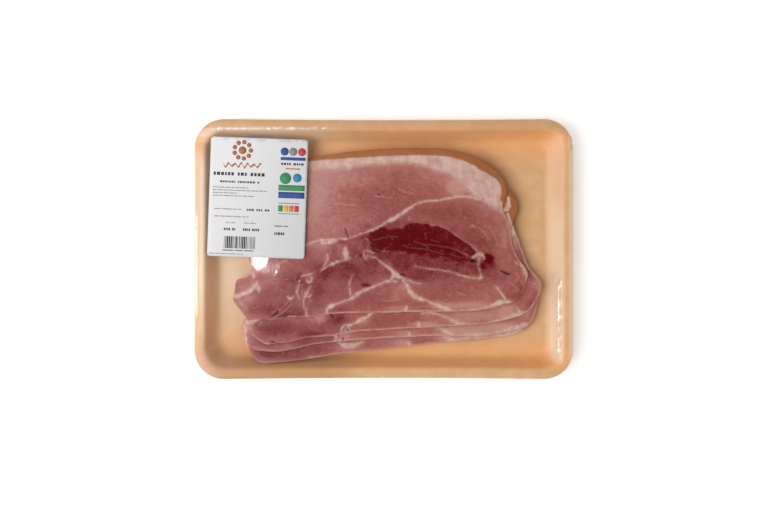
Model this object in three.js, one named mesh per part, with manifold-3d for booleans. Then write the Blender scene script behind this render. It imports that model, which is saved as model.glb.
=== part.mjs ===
// A pack of cooked ham: four overlapping slices on a moulded foam tray, overwrapped in clear
// stretch film that is folded under the tray, with a paper label on the film.
// Millimetres, +Z up. The origin is the middle of the pack's underside, +X runs along the tray's
// long side, and +Y towards the rind side of the slices.
import * as THREE from "three";
import { mergeVertices } from "three/addons/utils/BufferGeometryUtils.js";
import Module from "manifold-3d";

const wasm = await Module();
wasm.setup();

// Driving dimensions
const GAP = 0.3; // clearance between pieces that touch
const TRAY_LENGTH = 290;
const TRAY_WIDTH = 200;
const TRAY_HEIGHT = 20;
const TRAY_CORNER = 23; // outer corner radius of the rim
const LEAST_CORNER = 9; // corner radius far inside the rim
const SIDE_PINCH = 1.2; // how far the taut film draws in the middle of each long side
const FILM_THICKNESS = 0.5;
const FILM_SAG = 4; // dip of the film in the middle of the tray
const FILM_SPAN_INSET = 8; // inset at which the film leaves the rim
const SLICE_THICKNESS = 2.4;
const LABEL_WIDTH = 74;
const LABEL_HEIGHT = 91;
const LABEL_THICKNESS = 0.3;
const LABEL_CORNER = 2;
const LABEL_CENTRE = [-96.2, 39.1];
const LABEL_TURN = -2; // degrees

// Levels
const TRAY_BASE = FILM_THICKNESS + GAP;
const RIM_TOP = TRAY_BASE + TRAY_HEIGHT;
const FILM_TOP = RIM_TOP + GAP + FILM_THICKNESS;

// The tray's section, as [inset from the rim's edge, height above the tray's base].
const INNER_WALL = [
  [19.5, 4],
  [17.5, 4.35],
  [15.5, 5.6],
  [13.8, 7.8],
  [12.2, 11],
  [10.2, 15.5],
  [8.8, 18.4],
];
const RIM = [
  [7.6, 19.5],
  [6, TRAY_HEIGHT],
  [3, TRAY_HEIGHT],
  [1.2, 19.6],
  [0.3, 18.6],
  [0, 17.2],
  [0.6, 16.6],
  [3, 16.8],
  [5.5, 16.2],
];
const OUTER_WALL = [
  [7.2, 14],
  [10.5, 6.5],
  [12.8, 2.2],
  [15.5, 0.4],
  [18, 0],
];

// The film's section outside the span, as [inset, height], first its outer face going down and
// under the tray, then its inner face coming back. The flaps end FLAP_INSET in, round a bare window.
const FLAP_INSET = 58;
const FILM_OUTER = [
  [2, FILM_TOP],
  [-0.4, 20.6],
  [-0.8, 19.4],
  [-0.8, 17.2],
  [11.8, 2],
  [14.6, 0.35],
  [17.5, 0],
  [FLAP_INSET, 0],
];
const FILM_INNER = [
  [FLAP_INSET, FILM_THICKNESS],
  [17.8, FILM_THICKNESS],
  [15.2, 0.8],
  [12.2, 2.4],
  [-0.3, 17.4],
  [-0.3, 19.2],
  [0.1, 20.2],
  [2.2, FILM_TOP - FILM_THICKNESS],
];

// Outlines of the slices seen from above, from the bottom slice to the top one. The rind side runs
// from left to right, and each slice's `front` from there back to the left. All are cut from one
// ham, so they share one rind side, which each slice moves by its `shift`.
const RIND_SIDE = [
  [-102, -16], [-103.5, -10], [-106, 2.5], [-107, 16], [-105.5, 32], [-101, 46], [-91.5, 57.5],
  [-76, 66], [-57, 70.5], [-33.5, 74], [-10.5, 76.5], [12.5, 77.5], [35.5, 77.5], [51, 76.5],
  [66.5, 72.5], [79.5, 66], [89.5, 57.5], [94, 50], [95, 41.5], [91, 34],
];
const SLICES = [
  {
    name: "ham_slice_1",
    shift: [3, -25],
    front: [
      [116, -42], [116, -54], [112, -61.5], [103, -66], [90.5, -68.5], [71, -71], [57.5, -72],
      [43.5, -73], [28, -74.5], [5, -77.5], [-18, -79.5], [-37.5, -81.5], [-53, -84],
      [-69, -86], [-84.5, -87.5], [-94, -88], [-99.5, -84.5], [-104, -79], [-105.5, -69],
      [-102, -53.5],
    ],
  },
  {
    name: "ham_slice_2",
    shift: [5.5, -18.5],
    front: [
      [118, -34], [118.5, -44.5], [115.5, -55], [110, -60.5], [101.5, -63], [91.5, -65],
      [79.5, -67], [68, -68], [57.5, -67.5], [43.5, -67], [20, -68], [-3, -69], [-30, -71],
      [-53, -73.5], [-68, -76.5], [-80, -79], [-94, -78.5], [-102, -77], [-106.5, -73.5],
      [-108, -68], [-106.5, -59.5], [-103.5, -47],
    ],
  },
  {
    name: "ham_slice_3",
    shift: [8.5, -12.5],
    front: [
      [104, 8], [108, -4], [112, -14], [118, -21], [122, -27.5], [118, -38.5], [112.5, -47.5],
      [102.5, -52.5], [92, -55], [80.5, -57.5], [66.5, -58.5], [43.5, -60], [20, -61], [-3, -62.5],
      [-24.5, -64], [-39, -67], [-58.5, -68], [-71, -71.5], [-85, -72.5], [-91, -73.5],
      [-98.5, -68], [-106.5, -64], [-110, -61], [-109.5, -57], [-106, -52.5], [-101.5, -39],
    ],
  },
  {
    name: "ham_slice_4",
    shift: [0, 0],
    front: [
      [92.5, 28.5], [96.5, 19.5], [98, 10], [100, 0], [104.5, -8.5], [110, -15.5], [111, -20],
      [109.5, -26], [108.5, -32.5], [104.5, -38.5], [99.5, -42], [89.5, -44], [78, -46.5],
      [62.5, -48], [43.5, -48], [20, -48.5], [-3, -49], [-26, -49], [-41.5, -50], [-55, -52],
      [-72, -52.5], [-83, -54], [-89, -55.5], [-96.5, -53.5], [-105, -53.5], [-110, -47],
      [-114.5, -42], [-117, -37], [-114.5, -31.5], [-115, -27], [-112, -22.5], [-103, -21.5],
    ],
  },
];

// The lattice of heights on which the slices drape
const CELL = 9;
const LATTICE_X = [-135, 135];
const LATTICE_Y = [-99, 99];
const DRAPE_PASSES = 4;

// Detail of the meshes
const CORNER_STEPS = 6;
const LONG_STEPS = 6;
const SHORT_STEPS = 4;
const OUTLINE_STEPS = 2; // points of the smooth outline for each point listed above
const SPAN_RINGS = [0.18, 0.4, 0.6, 0.8, 1]; // the film's rings, as shares of its span

// A line from `a` to `b` in `steps` points, without its last one.
function pointsAlong(a, b, steps) {
  return Array.from({ length: steps }, (_, i) => a.clone().lerp(b, i / steps));
}

// The long sides are drawn in, most in their middle.
function pinched([x, y]) {
  const along = x / (TRAY_LENGTH / 2);
  return [x, y * (1 - (SIDE_PINCH / (TRAY_WIDTH / 2)) * (1 - along * along))];
}

// A closed loop round the tray, `inset` inside the rim's edge, as [x, y] points.
function trayLoop(inset) {
  const a = TRAY_LENGTH / 2 - inset;
  const b = TRAY_WIDTH / 2 - inset;
  const radius = Math.max(TRAY_CORNER - 0.8 * inset, LEAST_CORNER);
  const corners = [[1, 1], [-1, 1], [-1, -1], [1, -1]].map(([sx, sy], quarter) => {
    const centre = new THREE.Vector2(sx * (a - radius), sy * (b - radius));
    return Array.from({ length: CORNER_STEPS + 1 }, (_, i) => {
      const angle = (quarter + i / CORNER_STEPS) * (Math.PI / 2);
      return new THREE.Vector2(Math.cos(angle), Math.sin(angle)).multiplyScalar(radius).add(centre);
    });
  });
  const loop = corners.flatMap((corner, quarter) => {
    const next = corners[(quarter + 1) % 4][0];
    const steps = quarter % 2 ? SHORT_STEPS : LONG_STEPS;
    return [...corner.slice(0, -1), ...pointsAlong(corner[CORNER_STEPS], next, steps)];
  });
  return loop.map((p) => pinched([p.x, p.y]));
}

// How far the film hangs below its level on the rim.
function filmDip(x, y) {
  const across = Math.max(0, 1 - (x / (TRAY_LENGTH / 2 - FILM_SPAN_INSET)) ** 2);
  const down = Math.max(0, 1 - (y / (TRAY_WIDTH / 2 - FILM_SPAN_INSET)) ** 2);
  return FILM_SAG * across * down;
}

// One closed surface through the loops, each end closed by a fan. Every loop is a list of
// [x, y, z] points, anticlockwise from above, and the section runs outwards along its upper side.
function throughLoops(loops) {
  const count = loops[0].length;
  const last = loops.length - 1;
  const middle = (loop) => [0, 1, 2].map((k) => loop.reduce((sum, p) => sum + p[k], 0) / count);
  const points = [...loops.flat(), middle(loops[0]), middle(loops[last])];
  const index = [];
  for (let j = 0; j < count; j++) {
    const next = (j + 1) % count;
    index.push(points.length - 2, j, next);
    index.push(points.length - 1, last * count + next, last * count + j);
    for (let i = 0; i < last; i++) {
      const [a, b] = [i * count + j, i * count + next];
      index.push(a, a + count, b + count, a, b + count, b);
    }
  }
  const geometry = new THREE.BufferGeometry();
  geometry.setAttribute("position", new THREE.Float32BufferAttribute(points.flat(), 3));
  geometry.setIndex(index);
  return geometry;
}

function traySection() {
  return [...INNER_WALL, ...RIM, ...OUTER_WALL].map(([inset, height]) =>
    trayLoop(inset).map(([x, y]) => [x, y, height]),
  );
}

// The loops of one face of the film's span, from its middle out to the rim.
function spanLoops(level) {
  const edge = trayLoop(FILM_SPAN_INSET);
  return SPAN_RINGS.map((share) =>
    edge.map(([x, y]) => [share * x, share * y, level - filmDip(share * x, share * y)]),
  );
}

function filmSection() {
  const loopsOf = (section) =>
    section.map(([inset, height]) => trayLoop(inset).map(([x, y]) => [x, y, height]));
  return [
    ...spanLoops(FILM_TOP),
    ...loopsOf(FILM_OUTER),
    ...loopsOf(FILM_INNER),
    ...spanLoops(FILM_TOP - FILM_THICKNESS).reverse(),
  ];
}

// manifold-3d solids from three.js geometries, and back
function solidOf(geometry) {
  const bare = new THREE.BufferGeometry();
  bare.setAttribute("position", geometry.getAttribute("position"));
  bare.setIndex(geometry.index);
  const merged = mergeVertices(bare, 1e-4);
  const vertProperties = new Float32Array(merged.attributes.position.array);
  const triVerts = new Uint32Array(merged.index.array);
  return new wasm.Manifold(new wasm.Mesh({ numProp: 3, vertProperties, triVerts }));
}

function geometryOf(solid) {
  const { vertProperties, triVerts } = solid.getMesh();
  const geometry = new THREE.BufferGeometry();
  geometry.setAttribute("position", new THREE.BufferAttribute(vertProperties, 3));
  geometry.setIndex(new THREE.BufferAttribute(triVerts, 1));
  return geometry;
}

const COLUMNS = (LATTICE_X[1] - LATTICE_X[0]) / CELL + 1;
const ROWS = (LATTICE_Y[1] - LATTICE_Y[0]) / CELL + 1;

// One value for each lattice point, row by row.
function onLattice(valueAt) {
  return Array.from({ length: COLUMNS * ROWS }, (_, k) =>
    valueAt(LATTICE_X[0] + CELL * (k % COLUMNS), LATTICE_Y[0] + CELL * Math.floor(k / COLUMNS), k),
  );
}

// The part of a sheet that lies inside `shape`: it follows `heights` below, `thickness` all over.
function sheetSolid(shape, heights, thickness) {
  const columnsPoints = (extra) => onLattice((x, y, k) => [x, y, heights[k] + extra]);
  const points = [...columnsPoints(thickness), ...columnsPoints(0)].flat();
  const under = COLUMNS * ROWS;
  const index = [];
  for (let row = 0; row < ROWS - 1; row++) {
    for (let column = 0; column < COLUMNS - 1; column++) {
      const a = row * COLUMNS + column;
      const [b, c, d] = [a + 1, a + 1 + COLUMNS, a + COLUMNS];
      index.push(a, b, c, a, c, d);
      index.push(under + a, under + c, under + b, under + a, under + d, under + c);
    }
  }
  const wall = (a, b) => index.push(a, under + a, under + b, a, under + b, b);
  for (let column = 0; column < COLUMNS - 1; column++) {
    wall(column, column + 1);
    wall(under - column - 1, under - column - 2);
  }
  for (let row = 0; row < ROWS - 1; row++) {
    wall((row + 1) * COLUMNS, row * COLUMNS);
    wall((row + 1) * COLUMNS - 1, (row + 2) * COLUMNS - 1);
  }
  const sheet = new THREE.BufferGeometry();
  sheet.setAttribute("position", new THREE.Float32BufferAttribute(points, 3));
  sheet.setIndex(index);
  const prism = new THREE.ExtrudeGeometry(shape, { depth: 2 * FILM_TOP, bevelEnabled: false });
  return geometryOf(solidOf(sheet).intersect(solidOf(prism)));
}

// A slice's smooth outline, anticlockwise from above.
function sliceOutline({ shift, front }) {
  const rind = RIND_SIDE.map(([x, y]) => [x + shift[0], y + shift[1]]);
  const through = [...rind, ...front].reverse().map(([x, y]) => new THREE.Vector3(x, y, 0));
  const curve = new THREE.CatmullRomCurve3(through, true, "catmullrom", 0.5);
  const points = curve.getPoints(through.length * OUTLINE_STEPS).slice(0, -1);
  return points.map((p) => new THREE.Vector2(p.x, p.y));
}

// True if the lattice cells that touch the outline's inside reach (x, y).
function isCovered(outline, x, y) {
  let inside = false;
  let nearest = Infinity;
  outline.forEach((p, i) => {
    const q = outline[(i + 1) % outline.length];
    if (p.y > y !== q.y > y && x < p.x + ((y - p.y) / (q.y - p.y)) * (q.x - p.x)) inside = !inside;
    nearest = Math.min(nearest, Math.hypot(p.x - x, p.y - y));
  });
  return inside || nearest < CELL * 1.6;
}

// The height of the tray's floor or inner wall above its base at (x, y)
function trayHeight(x, y) {
  const inset = Math.min(TRAY_LENGTH / 2 - Math.abs(x), TRAY_WIDTH / 2 - SIDE_PINCH - Math.abs(y));
  const upper = INNER_WALL.findIndex(([edge]) => inset >= edge);
  if (upper <= 0) return INNER_WALL.at(upper)[1];
  const [[inset0, z0], [inset1, z1]] = [INNER_WALL[upper - 1], INNER_WALL[upper]];
  return z0 + ((z1 - z0) * (inset0 - inset)) / (inset0 - inset1);
}

// A sheet's heights over `support`: it never sinks into it, and bridges its steps in a soft slope.
function drapedOver(support) {
  let heights = support;
  for (let pass = 0; pass < DRAPE_PASSES; pass++) {
    const last = heights;
    heights = last.map((z, k) => {
      const column = k % COLUMNS;
      const row = Math.floor(k / COLUMNS);
      if (column === 0 || row === 0 || column === COLUMNS - 1 || row === ROWS - 1) return z;
      const around = last[k - 1] + last[k + 1] + last[k - COLUMNS] + last[k + COLUMNS];
      return Math.max(support[k], around / 4);
    });
  }
  return heights;
}

function namedMesh(name, geometry, material) {
  const flat = geometry.index ? geometry.toNonIndexed() : geometry;
  flat.computeVertexNormals();
  const mesh = new THREE.Mesh(flat, material);
  mesh.name = name;
  return mesh;
}

const foam = new THREE.MeshStandardMaterial({ color: 0xe2b184, roughness: 0.75, metalness: 0 });
const ham = new THREE.MeshStandardMaterial({ color: 0xb0686a, roughness: 0.35, metalness: 0 });
const paper = new THREE.MeshStandardMaterial({ color: 0xe6e5e8, roughness: 0.5, metalness: 0 });
const stretchFilm = new THREE.MeshStandardMaterial({
  color: 0xffffff,
  roughness: 0.08,
  metalness: 0,
  transparent: true,
  opacity: 0.15,
});

// The slices, each draped over the tray and over all the slices under it
function hamStack() {
  const stack = new THREE.Group();
  let support = onLattice((x, y) => trayHeight(x, y) + GAP);
  for (const slice of SLICES) {
    const outline = sliceOutline(slice);
    const heights = drapedOver(support);
    const solid = sheetSolid(new THREE.Shape(outline), heights, SLICE_THICKNESS);
    stack.add(namedMesh(slice.name, solid, ham));
    support = onLattice((x, y, k) =>
      isCovered(outline, x, y) ? heights[k] + SLICE_THICKNESS + GAP : support[k],
    );
  }
  return stack;
}

function labelShape() {
  const [a, b, r] = [LABEL_WIDTH / 2, LABEL_HEIGHT / 2, LABEL_CORNER];
  const [cos, sin] = [Math.cos, Math.sin].map((f) => f(THREE.MathUtils.degToRad(LABEL_TURN)));
  const rounded = new THREE.Shape();
  rounded.absarc(a - r, b - r, r, 0, Math.PI / 2);
  rounded.absarc(r - a, b - r, r, Math.PI / 2, Math.PI);
  rounded.absarc(r - a, r - b, r, Math.PI, 1.5 * Math.PI);
  rounded.absarc(a - r, r - b, r, 1.5 * Math.PI, 2 * Math.PI);
  const turned = rounded.getPoints(4).map(({ x, y }) => {
    const [across, up] = [x * cos - y * sin, x * sin + y * cos];
    return new THREE.Vector2(across + LABEL_CENTRE[0], up + LABEL_CENTRE[1]);
  });
  return new THREE.Shape(turned);
}

function label() {
  const heights = onLattice((x, y) => FILM_TOP + GAP - filmDip(x, y));
  return namedMesh("label", sheetSolid(labelShape(), heights, LABEL_THICKNESS), paper);
}

const pack = new THREE.Group();
const trayAndHam = new THREE.Group();
trayAndHam.add(namedMesh("tray", throughLoops(traySection()), foam), hamStack());
trayAndHam.position.z = TRAY_BASE;
pack.add(trayAndHam, namedMesh("film", throughLoops(filmSection()), stretchFilm), label());

export default pack;
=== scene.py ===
"""A pack of cooked ham, dressed in Blender around its CAD frame.

Four slices of cooked ham with rind lie fanned on a foam tray under clear stretch film, with a paper
label on the film. Lengths are in millimetres until they reach a mesh, and the marks on the meat are
placed by pixels of the photograph, seen through the camera below.
"""

import math

import bpy
import numpy as np
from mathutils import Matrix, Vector
from mathutils.bvhtree import BVHTree
from mathutils.geometry import delaunay_2d_cdt


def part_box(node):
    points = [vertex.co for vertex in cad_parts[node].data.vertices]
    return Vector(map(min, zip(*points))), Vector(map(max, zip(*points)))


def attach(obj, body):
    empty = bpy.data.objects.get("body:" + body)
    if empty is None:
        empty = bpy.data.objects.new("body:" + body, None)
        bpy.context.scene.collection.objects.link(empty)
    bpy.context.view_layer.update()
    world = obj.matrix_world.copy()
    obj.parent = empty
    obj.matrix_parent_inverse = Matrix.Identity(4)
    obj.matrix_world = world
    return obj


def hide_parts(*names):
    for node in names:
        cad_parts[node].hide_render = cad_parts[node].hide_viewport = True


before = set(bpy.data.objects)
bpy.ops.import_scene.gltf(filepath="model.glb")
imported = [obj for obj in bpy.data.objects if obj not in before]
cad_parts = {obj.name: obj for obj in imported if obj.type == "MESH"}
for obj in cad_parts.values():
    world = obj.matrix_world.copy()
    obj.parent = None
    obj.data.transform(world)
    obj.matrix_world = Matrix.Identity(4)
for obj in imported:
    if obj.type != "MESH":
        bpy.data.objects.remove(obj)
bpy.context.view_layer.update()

MM = 0.001

# The tray and its film, as the CAD frame has them
TRAY_LENGTH = (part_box("tray")[1].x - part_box("tray")[0].x) / MM
TRAY_WIDTH = 200.0  # before the film draws the long sides in
TRAY_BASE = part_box("tray")[0].z / MM
RIM_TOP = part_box("tray")[1].z / MM
FLOOR_HEIGHT = 4.0
TRAY_CORNER = 23.0
LEAST_CORNER = 9.0
SIDE_PINCH = 1.2
FILM_TOP = RIM_TOP + 0.8  # the CAD's film and its clearance lie on the rim
FILM_SAG = 4.0
FILM_SPAN_INSET = 8.0
FILM_THICKNESS = 0.04
FILM_HAZE = 0.006  # the share of light that the film mirrors even where it is looked at straight
PLEAT_TOP = 19.0  # the film is pleated below this height
RUCK_PLACE = (-60.0, -15.0)  # where the film is raised a little beside the label's lower corner
RUCK_REACH = 13.0
RUCK_HEIGHT = 0.1
SLICE_THICKNESS = 2.4
SLICE_CLEARANCE = 0.15
SLICES = ["ham_slice_1", "ham_slice_2", "ham_slice_3", "ham_slice_4"]  # from the lowest up
LABEL_SIZE = (74.0, 91.0)
LABEL_CENTRE = (-96.2, 39.1)
LABEL_CORNER = 2.0
LABEL_TURN = math.radians(-2)
LABEL_LIFT = 0.12  # over the film
LABEL_THICKNESS = 0.12
INK_BASE, INK_TOP = 0.002, 0.03  # over the label

# The camera of the photograph
PHOTO_SIZE = (769, 513)
PIXEL = 0.7632  # millimetres in a photo pixel at the rim's level
LENS_HEIGHT = 700.0  # above the rim
LENS_PLACE = (0.57, -5.7)
SENSOR = 36.0

# Points round each loop of the tray and the film
CORNER_POINTS = 44
LONG_POINTS = 150
SHORT_POINTS = 96


# ---------------------------------------------------------------- shapes


def photo_to_mm(line, level):
    """Photo pixels (u, v, ...) as millimetres (x, y, ...) on the plane at that level."""
    scale = PIXEL * (LENS_HEIGHT + RIM_TOP - level) / LENS_HEIGHT
    line = np.array(line, float)
    line[:, 0] = LENS_PLACE[0] + (line[:, 0] - PHOTO_SIZE[0] / 2) * scale
    line[:, 1] = LENS_PLACE[1] - (line[:, 1] - PHOTO_SIZE[1] / 2) * scale
    return line


def mm_to_photo(x, y, level):
    """The photo pixels on which points (x, y) at that level are seen."""
    scale = PIXEL * (LENS_HEIGHT + RIM_TOP - level) / LENS_HEIGHT
    u = PHOTO_SIZE[0] / 2 + (x - LENS_PLACE[0]) / scale
    v = PHOTO_SIZE[1] / 2 - (y - LENS_PLACE[1]) / scale
    return u, v


def between(grid, i, j, fx, fy):
    """A grid's value a share (fx, fy) of the way from its point (i, j) to the next ones."""
    low = grid[i, j] * (1 - fx) + grid[i + 1, j] * fx
    high = grid[i, j + 1] * (1 - fx) + grid[i + 1, j + 1] * fx
    return low * (1 - fy) + high * fy


def noise(x, y, size, seed):
    """Smooth random values from -1 to 1, with spots about `size` across."""
    table = np.random.default_rng(seed).uniform(-1, 1, (64, 64))
    table = np.pad(table, ((0, 1), (0, 1)), mode="wrap")
    gx, gy = np.asarray(x) / size, np.asarray(y) / size
    i, j = np.floor(gx).astype(int), np.floor(gy).astype(int)
    return between(table, i % 64, j % 64, smoothstep(0, 1, gx - i), smoothstep(0, 1, gy - j))


def layered_noise(x, y, size, seed, layers=3):
    """Noise with finer and weaker noise on it."""
    total = sum(noise(x, y, size / 2**k, seed + k) / 2**k for k in range(layers))
    return total / (2 - 0.5 ** (layers - 1))


def smoothstep(low, high, value):
    """0 at the low limit, rising smoothly to 1 at the high one, which may also be the lesser."""
    t = np.clip((value - low) / (high - low), 0, 1)
    return t * t * (3 - 2 * t)


def rounded(line, passes=2):
    """An open line with its corners cut into a smooth curve."""
    line = np.asarray(line, float)
    for _ in range(passes):
        a, b = line[:-1], line[1:]
        cut = np.stack([0.75 * a + 0.25 * b, 0.25 * a + 0.75 * b], 1)
        line = np.vstack([line[:1], cut.reshape(-1, line.shape[1]), line[-1:]])
    return line


def resampled(line, step, closed=False):
    """Points about `step` apart along a line."""
    line = np.vstack([line, line[:1]]) if closed else line
    travelled = np.r_[0, np.cumsum(np.hypot(*np.diff(line[:, :2], axis=0).T))]
    count = max(2, int(round(travelled[-1] / step)) + 1)
    at = np.linspace(0, travelled[-1], count)
    points = np.stack([np.interp(at, travelled, column) for column in line.T], 1)
    return points[:-1] if closed else points


def offset(ring, distance):
    """A closed anticlockwise ring moved outwards by a distance."""
    along = np.roll(ring, -1, 0) - np.roll(ring, 1, 0)
    normal = np.c_[along[:, 1], -along[:, 0]]
    return ring + normal / np.linalg.norm(normal, axis=1)[:, None] * np.reshape(distance, (-1, 1))


def distance_to_line(x, y, line):
    """The distance of points from a line, and the place of the nearest point along it (0 to n - 1)."""
    nearest = np.full(x.shape, np.inf)
    place = np.zeros(x.shape)
    for k, (a, b) in enumerate(zip(line[:-1, :2], line[1:, :2])):
        run = b - a
        t = np.clip(((x - a[0]) * run[0] + (y - a[1]) * run[1]) / (run @ run + 1e-12), 0, 1)
        far = np.hypot(x - a[0] - t * run[0], y - a[1] - t * run[1])
        closer = far < nearest
        nearest = np.where(closer, far, nearest)
        place = np.where(closer, k + t, place)
    return nearest, place


def depth_inside(x, y, polygon):
    """How deep points lie inside a closed polygon; negative outside."""
    closed = np.vstack([polygon, polygon[:1]])
    inside = np.zeros(x.shape, bool)
    for (ax, ay), (bx, by) in zip(closed[:-1, :2], closed[1:, :2]):
        crosses = (ay > y) != (by > y)
        inside ^= crosses & (x < ax + (y - ay) / (by - ay + 1e-12) * (bx - ax))
    return np.where(inside, 1, -1) * distance_to_line(x, y, closed)[0]


def bell(distance, reach):
    """1 at no distance, falling smoothly to nearly 0 at twice the reach."""
    return np.exp(-((distance / reach) ** 2))


def corner_arcs(half_x, half_y, radius, steps):
    """The corner arcs of a box with round corners round the origin, anticlockwise from +X +Y."""
    turn = np.linspace(0, np.pi / 2, steps + 1)
    arcs = []
    for quarter, (sx, sy) in enumerate([(1, 1), (-1, 1), (-1, -1), (1, -1)]):
        angle = turn + quarter * np.pi / 2
        middle = np.array([sx * (half_x - radius), sy * (half_y - radius)])
        arcs.append(middle + radius * np.c_[np.cos(angle), np.sin(angle)])
    return arcs


def ring_faces(first, second, count):
    """Quads between two rings of `count` points that start at those numbers."""
    here = np.arange(count)
    after = np.roll(here, -1)
    return np.c_[first + here, second + here, second + after, first + after].tolist()


def wall_faces(rings, count):
    """Quads between each of `rings` stacked rings of `count` points and the next one."""
    faces = []
    for k in range(rings - 1):
        faces += ring_faces(k * count, (k + 1) * count, count)
    return faces


def filled(ring, points):
    """Triangles over the inside of a closed ring, through further points in it, by point number."""
    flat = [Vector(p) for p in np.vstack([ring, points])[:, :2]]
    found = delaunay_2d_cdt(flat, [], [list(range(len(ring)))], 1, 1e-7)
    number = [origins[0] for origins in found[3]]
    faces = np.array([[number[k] for k in face] for face in found[2]])
    a, b, c = (np.array([p[:] for p in flat])[faces[:, k]] for k in range(3))
    turned = (b[:, 0] - a[:, 0]) * (c[:, 1] - a[:, 1]) < (b[:, 1] - a[:, 1]) * (c[:, 0] - a[:, 0])
    faces[turned] = faces[turned][:, ::-1]
    return faces


def cap_faces(ring, points, first_of_ring, first_of_points, downwards=False):
    """The faces of `filled` in a mesh whose ring and further points start at those numbers."""
    faces = filled(ring, points)
    if downwards:
        faces = faces[:, ::-1]
    count = len(ring)
    return np.where(faces < count, faces + first_of_ring, faces - count + first_of_points).tolist()


def at_level(points, z):
    """Flat points (x, y) at a height."""
    return np.c_[points, np.full(len(points), z)]


def deeper(points, polygon, depth):
    """Those points that lie more than a depth inside a polygon."""
    return points[depth_inside(*points.T, polygon) > depth]


def scattered(low, high, step, seed):
    """A grid of points about `step` apart, each moved a little at random."""
    x, y = np.meshgrid(np.arange(low[0], high[0], step), np.arange(low[1], high[1], step))
    wobble = np.random.default_rng(seed).uniform(-0.2, 0.2, (x.size, 2)) * step
    return np.c_[x.ravel(), y.ravel()] + wobble


def piece(name, points, faces, materials, replaced=(), values=None, looks=None):
    """A smooth mesh on the root body, from points in millimetres, named values that the points carry
    and the number of each face's material."""
    mesh = bpy.data.meshes.new(name)
    mesh.from_pydata((np.asarray(points) * MM).tolist(), [], [list(map(int, f)) for f in faces])
    for material in materials:
        mesh.materials.append(material)
    for key, value in (values or {}).items():
        layer = mesh.attributes.new(key, "FLOAT", "POINT")
        layer.data.foreach_set("value", np.asarray(value, np.float32))
    mesh.polygons.foreach_set("use_smooth", [True] * len(mesh.polygons))
    if looks is not None:
        mesh.polygons.foreach_set("material_index", looks)
    mesh.update()
    made = bpy.data.objects.new(name, mesh)
    bpy.context.scene.collection.objects.link(made)
    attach(made, "root")
    if replaced:
        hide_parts(*replaced)
    return made


# ---------------------------------------------------------------- materials


def srgb(hexadecimal):
    """A colour written as on a screen, as the linear colour that a shader takes."""
    parts = [int(hexadecimal[k : k + 2], 16) / 255 for k in (0, 2, 4)]
    return [p / 12.92 if p < 0.04045 else ((p + 0.055) / 1.055) ** 2.4 for p in parts] + [1.0]


def node(tree, kind, inputs=None, **settings):
    """A new shader node. An input is a constant or the output socket that feeds it."""
    made = tree.nodes.new(kind)
    for key, value in settings.items():
        setattr(made, key, value)
    for key, value in (inputs or {}).items():
        if isinstance(value, bpy.types.NodeSocket):
            tree.links.new(value, made.inputs[key])
        else:
            made.inputs[key].default_value = value
    return made


def maths(tree, operation, *values):
    return node(tree, "ShaderNodeMath", dict(enumerate(values)), operation=operation).outputs[0]


def times(tree, first, second):
    return maths(tree, "MULTIPLY", first, second)


def plus(tree, first, second):
    return maths(tree, "ADD", first, second)


def rest_of(tree, share):
    """What a share leaves of 1."""
    return maths(tree, "SUBTRACT", 1.0, share)


def centred(tree, value, amount):
    """A value from 0 to 1 moved round 0 and scaled."""
    return times(tree, maths(tree, "SUBTRACT", value, 0.5), amount)


def point_value(tree, name):
    """A value that the mesh's points carry."""
    return node(tree, "ShaderNodeAttribute", attribute_name=name).outputs["Fac"]


def blended(tree, share, first, second):
    """The first colour, with a share of the second one."""
    return node(tree, "ShaderNodeMix", {0: share, 6: first, 7: second}, data_type="RGBA").outputs[2]


def stepped(tree, value, low, high, to_low=0.0, to_high=1.0):
    """A soft step of a value between two limits."""
    inputs = {"Value": value, "From Min": low, "From Max": high, "To Min": to_low, "To Max": to_high}
    return node(tree, "ShaderNodeMapRange", inputs, interpolation_type="SMOOTHSTEP").outputs[0]


def speckle(tree, place, size, detail=2.0, stretch=(1, 1, 1), turn=0.0):
    """Noise from 0 to 1 with spots about `size` millimetres across."""
    scale = [s / (size * MM) for s in stretch]
    inputs = {"Vector": place, "Rotation": (0, 0, turn), "Scale": scale}
    moved = node(tree, "ShaderNodeMapping", inputs)
    inputs = {"Vector": moved.outputs[0], "Scale": 1.0, "Detail": detail, "Roughness": 0.55}
    return node(tree, "ShaderNodeTexNoise", inputs).outputs[0]


def ramp(tree, value, stops):
    """Colours between the stops, each a place from 0 to 1 and its colour."""
    made = node(tree, "ShaderNodeValToRGB", {0: value})
    elements = made.color_ramp.elements
    while len(elements) < len(stops):
        elements.new(0.5)
    for element, (place, _) in zip(elements, stops):
        element.position = place
    for element, (_, colour) in zip(elements, stops):
        element.color = srgb(colour)
    return made.outputs[0]


def bumped(tree, height, strength, distance):
    """The surface's normal, tilted by a relief."""
    inputs = {"Height": height, "Strength": strength, "Distance": distance}
    return node(tree, "ShaderNodeBump", inputs).outputs[0]


def new_material(name):
    """A material with an empty tree, and the place on the object as a socket."""
    material = bpy.data.materials.new(name)
    material.use_nodes = True
    tree = material.node_tree
    tree.nodes.clear()
    return material, tree, node(tree, "ShaderNodeTexCoord").outputs["Object"]


def finished(material, tree, shader):
    node(tree, "ShaderNodeOutputMaterial", {"Surface": shader})
    return material


def painted(material, tree, colour, roughness, **inputs):
    """The material finished as an opaque surface. Further inputs have _ for each space in a name."""
    inputs = {key.replace("_", " "): value for key, value in inputs.items()}
    inputs |= {"Base Color": colour, "Roughness": roughness}
    return finished(material, tree, node(tree, "ShaderNodeBsdfPrincipled", inputs).outputs[0])


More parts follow.
